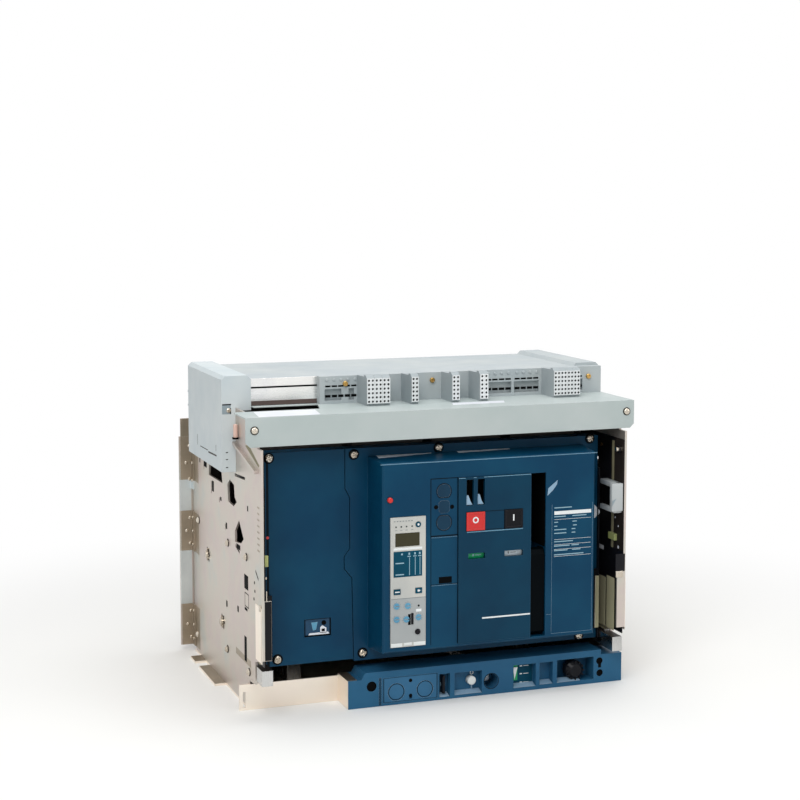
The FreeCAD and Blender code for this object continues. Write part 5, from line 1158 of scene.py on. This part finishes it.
class BREAKER_OT_racking_bar(bpy.types.Operator):
    """Dresses the racking bar: position panel, marks, knob and release button"""
    bl_idname = "breaker.racking_bar"
    bl_label = "Racking bar"

    def execute(self, context):
        floor = BAR_FACE + 12
        prints("position_panel", [(104, 136.5, 5.5, 36.5)], floor, "teal", RACKING)
        rows = []
        for z in (31, 20, 8):
            rows += [(118, 121.5, z, z + 1.6), (123.5, 131, z + 0.3, z + 1.1)]
        prints("position_marks", rows, floor - INK, "ink", RACKING)
        a, b = corners("position_flag")
        shapes("position_pointer",
            [[(b[2] - 3, a[0] + 1), (b[2] - 3, b[0] - 1), (b[2] - 10, b[0] - 3), (a[2] + 2, a[0] + 2.5),
            (b[2] - 9, a[0] + 1)]], "y", a[1] - INK, a[1] + INK, "ink", ("position_flag", "pale_flag"))
        prints("padlock_marks", [(0.6, 1.6, 15, 20.4), (3.6, 4.6, 15, 20.4), (6.6, 7.6, 15, 20.4),
            (0.6, 6, 17.4, 18.2)], floor, "pale_ink", RACKING)
        # Sloped sills at the windows' feet, painted pale as a highlight.
        mesh = bmesh.new()
        for left, right, low in ((-4.8, 9.6, 3.6), (17.2, 56.6, 4.2), (142.9, 162.4, 6.2), (169.4, 204.6, 6.2),
                (103.8, 136.8, 5.2)):
            drawn(mesh, [(BAR_FACE + 0.6, low), (floor - 0.4, low), (floor - 0.4, low + 3.4)], "x", left, right)
        put("window_sills", mesh, "sill_highlight", RACKING)
        # A pale strip painted as a highlight.
        prints("release_marks", [(45.4, 47.2, 5.5, 12)], floor, "sill_highlight", RACKING)
        lines("release_ring", [half_round(46.4, 29.6, 2.6, 0)], 0.9, floor, "ink", RACKING)
        # A darker band in the groove beside the key plate: painted shade.
        prints("key_plate_groove", [(-91.6, -88.2, 1, 38.6)], BAR_FACE, "knock_out", RACKING)
        plate_face = corners("key_lock_plate")[0][1]
        rings = [half_round(-67, 17.5, 11.4, 6.6), half_round(-26.2, 17.5, 11.4, 6.6)]
        lines("key_plate_grooves", rings + [(-85.2, -8.3, 4, 37.3)], 1.0, plate_face, "seam", RACKING)
        # Rims painted paler as a highlight.
        rims = [half_round(-67, 17.0, 12.4, 5.4), half_round(-26.2, 17.0, 12.4, 5.4)]
        lines("key_plate_rims", rims, 0.7, plate_face, "ridge_highlight", RACKING, 0.08)
        lines("crank_hole_rim", [half_round(70.5, 18.6, 11.2, 0)], 1.0, BAR_FACE, "seam", RACKING)
        # A black slot, discs and hole floors: painted shade inside the holes.
        prints("padlock_hole_slot", [(232, 236.4, 21.6, 28)], BAR_FACE, "dark", RACKING)
        rounds("key_plate_holes", disc(2.5), "y", [(z, -46.7, plate_face) for z in (10.4, 31.2)], 20, "dark", RACKING)
        mesh = bmesh.new()
        for x, z, radius in ((-101.7, 28, 7), (234, 31, 5), (234.5, 14, 5)):
            turned(mesh, [(1.6, radius - 0.02), (0.9, radius - 0.02), (0.9, 0)], "y", z, x, BAR_FACE, 28)
        put("bar_hole_floors", mesh, "dark", RACKING)
        a, b = corners("racking_bar")
        plates("bar_end_plate", [((a[0] - 0.5, a[1] + 0.8, 0.4), (a[0] + 0.1, b[1], 38.1))], "tray_zinc", ZINC)
        plates("bar_end_top", [((a[0] - 0.4, a[1] + 2.5, 37.9), (a[0] + 13, b[1], 38.2))], "olive", OLIVE)
        x, z, front = front_centre("release_button")
        rounds("release_button_crown", [(0.3, 6), (-0.8, 6), (-1.5, 5.4), (-1.7, 4), (-1.5, 0)], "y",
            [(z, x, front)], 32, "white", ("release_button", "white_button"))
        x, z, front = front_centre("stored_crank")
        mesh = bmesh.new()
        block(mesh, (-1.0, -0.7, 10.6), (1.0, 16.5, 13.3), 0.5)
        rib = spare("grip_rib", mesh, "black")
        grown("crank_grip_ribs", "ring", "black", ("stored_crank", "black_moulding"), Piece=rib, Count=12,
            Centre=(x * MM, (front + 1.5) * MM, z * MM), From=0.0, Gap=math.radians(30))
        clear_spares()
        return {"FINISHED"}


def plate_fittings():
    """Slots painted dark as shade, patches on the side plates, and the guards inside them."""
    out, inside = PLATE_OUTER + INK, PLATE_OUTER - 0.4
    marks = [(101, 119, 289, 301), (141, 146, 290.5, 298.6), (59, 70, 261, 276), (15, 22, 255.6, 261),
        (-130, -125, 267, 274), (-16, -9, 222, 230.5), (-87, -67, 206.6, 213), (-127, -107, 161, 180),
        (-122, -108, 132, 135.6), (-14, -7, 113, 121), (-76, -69, 120, 128), (-117, -105, 62.5, 96),
        (-129, -109, 137, 138.2), (-129, -109, 154.8, 156), (-129, -127.8, 137, 156), (-110.2, -109, 137, 156)]
    marks.append([(-165, 194.6), (-165, 197.4), (-179, 188.4), (-179, 185.6)])
    for y, z in ((-159, 179), (-161, 168), (-156, 157)):
        marks.append(half_round(y, z, 2.2, z - 9, 16))
    # Black slots: painted shade in the plates' openings.
    both_sides("plate_slots", marks, inside, out, "dark", ZINC)
    patches = [(-138, -59, 60, 69)]
    patches += [(-186, -175, z, z + 2.4) for z in range(224, 282, 8)]
    both_sides("plate_patches", patches, inside, out - 0.02, "olive", ZINC)
    sheets = [(-195, -118, 75, 345), (-118, -108, 180, 300), (-118, -60, 311, 345), (-108, -60, 248, 300),
        (-108, -60, 75, 212), (-118, -108, 75, 158)]
    both_sides("inner_guards", sheets, PLATE_INNER - 0.9, PLATE_INNER - 0.1, "black", FIXED_BLACK)
    both_sides("inner_liners", [(-171, -147.5, 73, 147), (-144, -123, 73, 143)], PLATE_INNER - 1.2, PLATE_INNER - 0.8,
        "liner_zinc", OLIVE)
    # A dark strip and darker olive bars on the noses' inner faces: painted shade.
    both_sides("nose_lacquer", [(-195, -167, 190, 345)], PLATE_INNER - 1.1, PLATE_INNER - 0.8, "brown_shade", FIXED_BLACK)
    both_sides("nose_bars", [(-166, -160, 190, 340)], PLATE_INNER - 1.6, PLATE_INNER - 0.8, "shaded_olive_zinc", OLIVE)


def grip_fittings():
    """The lifting grips, their lugs and the folded wing with its arrow."""
    mesh = bmesh.new()
    low, high = corners("lifting_grips")
    for z in (low[2], high[2] - 7):
        block(mesh, (242, -190, z), (high[0], high[1], z + 7), 1.2)
        block(mesh, (-254, -168, z), (-249.5, high[1], z + 7), 1.2)
    block(mesh, (237, low[1], low[2] + 3), (high[0], low[1] + 8, high[2]), 1.5)
    block(mesh, (247, low[1] + 4, low[2]), (high[0], low[1] + 14, high[2]), 1.2)
    block(mesh, (-254, -169, low[2]), (-249.5, -163, high[2]), 1.2)
    put("grip_loops", mesh, "grip", GRIP, "lifting_grips")
    # A black plate on the web's left face: painted shade.
    shade = [((246.2, low[1] + 8.5, low[2] + 6), (247.2, high[1] - 1, high[2] - 6))]
    plates("grip_web", shade, "dark", BLACK)
    shapes("grip_dent", [[(254, 237.4), (264.5, 243.5), (261.5, 237.4)]], "y", low[1] - 0.1, low[1] + 0.2, "shade",
        GRIP)
    lugs = [((-250, -152, z), (-242.2, -140, z + 7)) for z in (low[2], high[2] - 7)]
    plates("grip_lugs", lugs, "black", BLACK, 0.5)
    edge = corners("breaker_side_plates")[0][1]
    plates("wing_fold_faces", [((236.9, edge - 0.3, 73), (242.3, edge + 0.1, 147))], "liner_zinc",
        ("breaker", "olive_zinc"), 0)
    plates("wing_fold_edge", [((236.4, edge - 0.3, 73), (236.9, edge + 0.1, 147))], "tray_zinc",
        ("breaker", "zinc_sheet"), 0)
    flange = edge + 4
    shapes("side_arrow", [[(249.5, 233), (246, 237.5), (242.6, 240), (232.6, 240), (229.4, 237.5), (226.5, 233)]], "y",
        flange - 0.3, flange + 0.1, "label", COVER)
    shapes("side_arrow_tip", [[(241.6, 240.3), (238.9, 242.2), (236.5, 242.2), (233.4, 240.3)]], "y", edge - 0.3,
        edge + 0.1, "label", COVER)


def guard_fittings():
    """Spots painted white as the bright background seen through holes, dots and clips on the guards."""
    guard = PLATE_INNER - 1.2
    # White spots where the background would show through holes: painted light.
    spots = [(-137, -124, 181, 187), half_round(-171.5, 233.6, 1.5, 200, 12), half_round(-180.9, 222.7, 1.5, 200, 12),
        half_round(-181.6, 193.4, 2.2, 170, 12)]
    both_sides("guard_spots", spots, guard - 0.15, guard + 0.1, "label", FIXED_BLACK)
    both_sides("guard_dots", [half_round(-126, 329.5, 3, 300, 16)], guard - 0.4, guard + 0.1, "brass", STEEL)
    both_sides("plate_clips", [(-177, -158, 202, 211)], guard - 4, guard + 0.1, "clip", TERMINAL)


def fold_fittings():
    """What sits on the front folds of the side plates."""
    fold = corners("side_plate_left")[0][1]
    # Black blocks on the folds stand for the dark gap beside the breaker: painted shade.
    plates("fold_guard",
        [((-255, fold - 0.4, 84.5), (-246.2, fold, 161.5)), ((243, fold - 1.6, 163), (257, fold, 187))], "black",
        FIXED_BLACK, 0.15)
    plates("fold_catches",
        [((-260.5, fold + 4, 148), (-253.9, fold + 9, 156)), ((-252.8, fold, 156), (-251.6, fold + 1, 175)),
        ((-253.6, fold, 190.6), (-251.8, fold + 1, 193.6)), ((243.4, fold - 1.8, 154.5), (254, fold, 163.4))], "screw",
        STEEL, 0.3)
    plates("fold_clip", [((-254, fold + 8, 205), (-247.4, fold + 12, 219.5))], "clip", TERMINAL, 0.8)
    both_sides("nose_channels", [(-192.4, -165, 80, 153), (-195.3, -194.2, 80, 153)], PLATE_OUTER, PLATE_OUTER + 0.7,
        "tray_zinc", ZINC)
    both_sides("nose_gap", [(-194.2, -192.4, 80, 153)], PLATE_OUTER, PLATE_OUTER + 0.2, "brown_shade", ZINC)
    rounds("guide_pin", [(246.4, 3.4), (255, 3.4)], "x", [(-186, 331, 0)], 20, "screw", STEEL)
    rounds("guide_washer", [(250, 5.4), (251.6, 5.4)], "x", [(-186, 331, 0)], 20, "black", FIXED_BLACK)


def cap_fittings():
    """Notches with lines painted dark as shade, nubs, screws and pins of the end caps."""
    cap, cap_end = corners("end_cap_left")
    front, back = cap[1], cap_end[1]
    mesh = bmesh.new()
    # Dark lines at the cap's notch, small dark slots and rings under the pins: painted shade.
    notches = [((264.5, front - 0.2, 400), (276.5, front + 0.3, 401.6)),
        ((264.6, front - 0.2, 388), (266, front + 0.3, 396))]
    notches += [((269.2, front - 0.12, z), (272.2, front + 0.3, z + 1.2)) for z in (335.9, 326.5, 315.7)]
    for low, high in mirrored(notches):
        block(mesh, low, high)
    pins = [(side * 262, -80.8, 0) for side in (-1, 1)]
    for pin in pins:
        turned(mesh, [(356, 4.4), (358.4, 4.4)], "z", *pin, 20)
    put("cap_notches", mesh, "dark", HOOD)
    plates("cap_recesses", mirrored([((265, front - 0.1, 388), (276.8, front + 0.3, 400.6))]), "shade", HOOD)
    # Dark lines along the cap skirts: painted shade.
    skirt = [(73.3, 74.3, 327.6, 342.4), [(56.5, 327.4), (56.5, 328.6), (11.7, 329.2), (11.7, 328)],
        [(8.5, 325.6), (8.5, 327.8), (-38, 329.2), (-38, 327)], (-35.8, -34.6, 334, 342.6)]
    outer = -cap[0]
    both_sides("skirt_lines", skirt, outer - 0.3, outer + 0.1, "brown_shade", HOOD)
    # A slit painted in the darker olive: painted shade.
    slit = [[(-118, 352.5), (-136, 356), (-188, 336.5), (-184, 333.5)]]
    both_sides("rib_slits", slit, PLATE_OUTER - 0.3, PLATE_OUTER + 0.1, "shaded_olive_zinc", ZINC)
    rounds("cap_screws", [(front + 0.1, 3), (front - 1.2, 3), (front - 1.9, 2), (front - 2, 0)], "y",
        [(393, side * 268, 0) for side in (-1, 1)], 20, "screw", STEEL)
    rounds("cap_pins", [(357, 3), (375, 3), (376, 2), (376, 0)], "z", pins, 20, "pink", STEEL)
    nubs = [((272, back - 0.5, z), (277, back + 7.5, z + 3)) for z in (375, 395)]
    plates("cap_nubs", mirrored(nubs), "cap", HOOD, 0.5)


def rear_fittings():
    """The tray's lip, and the rear brackets' tabs, faces and feet."""
    tray = corners("front_crossbar")[1]
    plates("tray_lip", [((-237, -81, tray[2] - 1.2), (-145, tray[1], tray[2]))], "enamel", ENAMEL)
    low, high = corners("rear_brackets")
    tabs = [((PLATE_OUTER, low[1], high[2]), (PLATE_OUTER + 2, high[1], 349)),
        ((PLATE_OUTER + 2, high[1] - 2, high[2]), (high[0], high[1], 349))]
    tabs += [((PLATE_OUTER, 155, bottom), (PLATE_OUTER + 0.4, low[1], top))
        for bottom, top in ((8.5, 70.5), (151.2, 211), (257.5, 322))]
    plates("bracket_tabs", mirrored(tabs), "olive", OLIVE)
    strips = [((260.7, high[1] - 2.2, bottom), (277.8, high[1], top)) for bottom, top in ((70.7, 151), (211.2, 257.5))]
    strips.append(((PLATE_OUTER, low[1] - 0.1, 244.3), (260.7, high[1] - 2, 257.5)))
    plates("flange_faces", mirrored(strips), "flange", ZINC)
    feet = [((258.7, start + 0.1, 3), (274.9, end - 0.1, 3.3)) for start, end in ((-3.5, 91.5), (116.5, 146.5))]
    plates("foot_passivation", mirrored(feet), "olive", OLIVE)
    # A dark pad on each rail's top: painted shade.
    for name in ("rail_left", "rail_right"):
        a, b = corners(name)
        plates(name + "_pad", [((a[0] + 0.3, a[1] + 1.5, b[2]), (b[0] - 0.3, a[1] + 60, b[2] + 0.2))], "brown_shade",
            (name, "bright_steel"))


class BREAKER_OT_side_fittings(bpy.types.Operator):
    """Makes the small fittings beside the breaker, inside the side plates"""
    bl_idname = "breaker.side_fittings"
    bl_label = "Side fittings"

    def execute(self, context):
        plate_fittings()
        grip_fittings()
        guard_fittings()
        fold_fittings()
        cap_fittings()
        rear_fittings()
        return {"FINISHED"}


class BREAKER_OT_works(bpy.types.Operator):
    """Makes the racking screw's thread and the closing spring"""
    bl_idname = "breaker.works"
    bl_label = "Inner works"

    def execute(self, context):
        sizes = context.scene.breaker_works
        x, z = front_centre("racking_screw")[:2]
        start, end = -115.0, corners("racking_screw")[1][1] - 8
        quarter = Matrix.Rotation(-math.pi / 2, 4, "X").to_euler()
        grown("racking_thread", "coil", "steel", ("racking_screw", "bright_steel"),
            Turns=(end - start) / (sizes.lead / MM), Radius=6 * MM, Length=(end - start) * MM, Section=sizes.thread,
            Sides=6, Steps=24, Start=(x * MM, start * MM, z * MM), Turn=quarter)
        low, high = corners("closing_spring")
        y, z = (low[1] + high[1]) / 2, (low[2] + high[2]) / 2
        radius = (high[2] - low[2]) / 2 * MM - sizes.wire
        side = Matrix.Rotation(math.pi / 2, 4, "Y").to_euler()
        grown("closing_spring_coil", "coil", "steel", ("breaker", "bright_steel"), Turns=float(sizes.turns),
            Radius=radius, Length=(high[0] - low[0] - 4) * MM, Section=sizes.wire, Sides=10, Steps=28,
            Start=((low[0] + 2) * MM, y * MM, z * MM), Turn=side)
        return {"FINISHED"}


def make_floor(settings):
    """A pale round floor that fades into the white room."""
    mesh = bmesh.new()
    bmesh.ops.create_circle(mesh, cap_ends=True, segments=96, radius=settings.radius / MM)
    bmesh.ops.translate(mesh, vec=(0, 0, -0.1), verts=mesh.verts)
    material, tree, shader, place = new_material("Pale studio floor")
    give(shader, {"Base Color": settings.floor, "Roughness": 0.8, "Specular IOR Level": 0.1})
    distance = add(tree, "ShaderNodeVectorMath", {0: place}, operation="LENGTH").outputs["Value"]
    # The floor keeps its colour up to the first distance and is the room's from the second, both in metres.
    near, far = 0.42, 1.1
    fade = add(tree, "ShaderNodeMapRange", {"Value": distance, "From Min": near, "From Max": far},
        interpolation_type="SMOOTHSTEP")
    paths = add(tree, "ShaderNodeLightPath").outputs
    seen = add(tree, "ShaderNodeMath", {0: paths["Is Camera Ray"], 1: paths["Is Glossy Ray"]}, operation="MAXIMUM")
    share = add(tree, "ShaderNodeMath", {0: fade, 1: seen}, operation="MULTIPLY")
    glow = add(tree, "ShaderNodeEmission", {"Color": (1, 1, 1, 1), "Strength": 1.0})
    mixed = add(tree, "ShaderNodeMixShader", {0: share, 1: shader, 2: glow})
    output = [node for node in tree.nodes if node.type == "OUTPUT_MATERIAL"][0]
    give(output, {"Surface": mixed})
    finishes["floor"] = material
    mesh_object("floor", mesh, "floor")


def make_world(scene, settings):
    """A white room: what the camera sees is brighter than the light that it gives."""
    world = bpy.data.worlds.new("Soft white room")
    scene.world = world
    world.use_nodes = True
    tree = world.node_tree
    tree.nodes.clear()
    paths = add(tree, "ShaderNodeLightPath").outputs
    straight = add(tree, "ShaderNodeMath", {0: paths["Is Camera Ray"], 1: paths["Is Transmission Ray"]},
        operation="MAXIMUM")
    glossy = add(tree, "ShaderNodeMath", {0: straight, 1: paths["Is Glossy Ray"]}, operation="MAXIMUM")
    level = add(tree, "ShaderNodeMapRange", {"Value": glossy, "To Min": settings.ambient, "To Max": 1.0})
    sky = add(tree, "ShaderNodeBackground", {"Color": (1, 1, 1, 1), "Strength": level})
    add(tree, "ShaderNodeOutputWorld", {"Surface": sky})


def make_lamps(settings):
    """Three soft boxes."""
    boxes = (("key_box", (-1.3, -2.0, 2.3), 1.6, 40), ("fill_box", (2.0, -1.8, 1.2), 1.4, 10),
        ("top_box", (0.1, -0.1, 2.3), 1.6, 26))
    for name, place, size, power in boxes:
        data = bpy.data.lights.new(name, "AREA")
        data.shape = "SQUARE"
        data.size = size
        data.energy = power * settings.lamps
        lamp = linked(name, data)
        lamp.location = place
        lamp.rotation_euler = (Vector((0, 0, 0.2)) - Vector(place)).to_track_quat("-Z", "Y").to_euler()


def make_camera(scene):
    """The camera of the photograph."""
    data = bpy.data.cameras.new("camera")
    data.sensor_width = 36
    data.lens = LENS
    data.shift_y = -0.06
    data.clip_start, data.clip_end = 0.05, 60
    camera = linked("camera", data)
    camera.location = CAMERA_PLACE
    camera.rotation_euler = CAMERA_TURN
    scene.camera = camera


class BREAKER_OT_stage(bpy.types.Operator):
    """Makes the floor, the soft boxes and the camera"""
    bl_idname = "breaker.stage"
    bl_label = "Stage"

    def execute(self, context):
        settings = context.scene.breaker_stage
        scene = context.scene
        scene.view_settings.view_transform = "Standard"
        make_floor(settings)
        make_world(scene, settings)
        make_lamps(settings)
        make_camera(scene)
        return {"FINISHED"}


class BREAKER_PT_panel(bpy.types.Panel):
    """Lists the breaker's operators and settings"""
    bl_label = "Draw-out breaker"
    bl_idname = "BREAKER_PT_panel"
    bl_space_type = "VIEW_3D"
    bl_region_type = "UI"
    bl_category = "Breaker"

    def draw(self, context):
        for operator in OPERATORS:
            self.layout.operator(operator.bl_idname)
        for name in SETTINGS:
            group = getattr(context.scene, name)
            for key in group.bl_rna.properties.keys():
                if key not in ("rna_type", "name"):
                    self.layout.prop(group, key)


OPERATORS = (BREAKER_OT_finishes, BREAKER_OT_fasteners, BREAKER_OT_terminals, BREAKER_OT_trip_unit,
             BREAKER_OT_controls, BREAKER_OT_covers, BREAKER_OT_racking_bar, BREAKER_OT_side_fittings,
             BREAKER_OT_works, BREAKER_OT_stage)
SETTINGS = {
    "breaker_finish": FinishSettings, "breaker_fasteners": FastenerSettings,
    "breaker_terminals": TerminalSettings, "breaker_works": WorksSettings,
    "breaker_marks": MarkSettings, "breaker_stage": StageSettings,
}


def register():
    for kind in list(SETTINGS.values()) + list(OPERATORS) + [BREAKER_PT_panel]:
        bpy.utils.register_class(kind)
    for name, kind in SETTINGS.items():
        setattr(bpy.types.Scene, name, bpy.props.PointerProperty(type=kind))


def unregister():
    for name in SETTINGS:
        delattr(bpy.types.Scene, name)
    for kind in [BREAKER_PT_panel] + list(OPERATORS)[::-1] + list(SETTINGS.values())[::-1]:
        bpy.utils.unregister_class(kind)


def main():
    register()
    for operator in OPERATORS:
        group, name = operator.bl_idname.split(".")
        getattr(getattr(bpy.ops, group), name)()


if __name__ == "__main__":
    main()
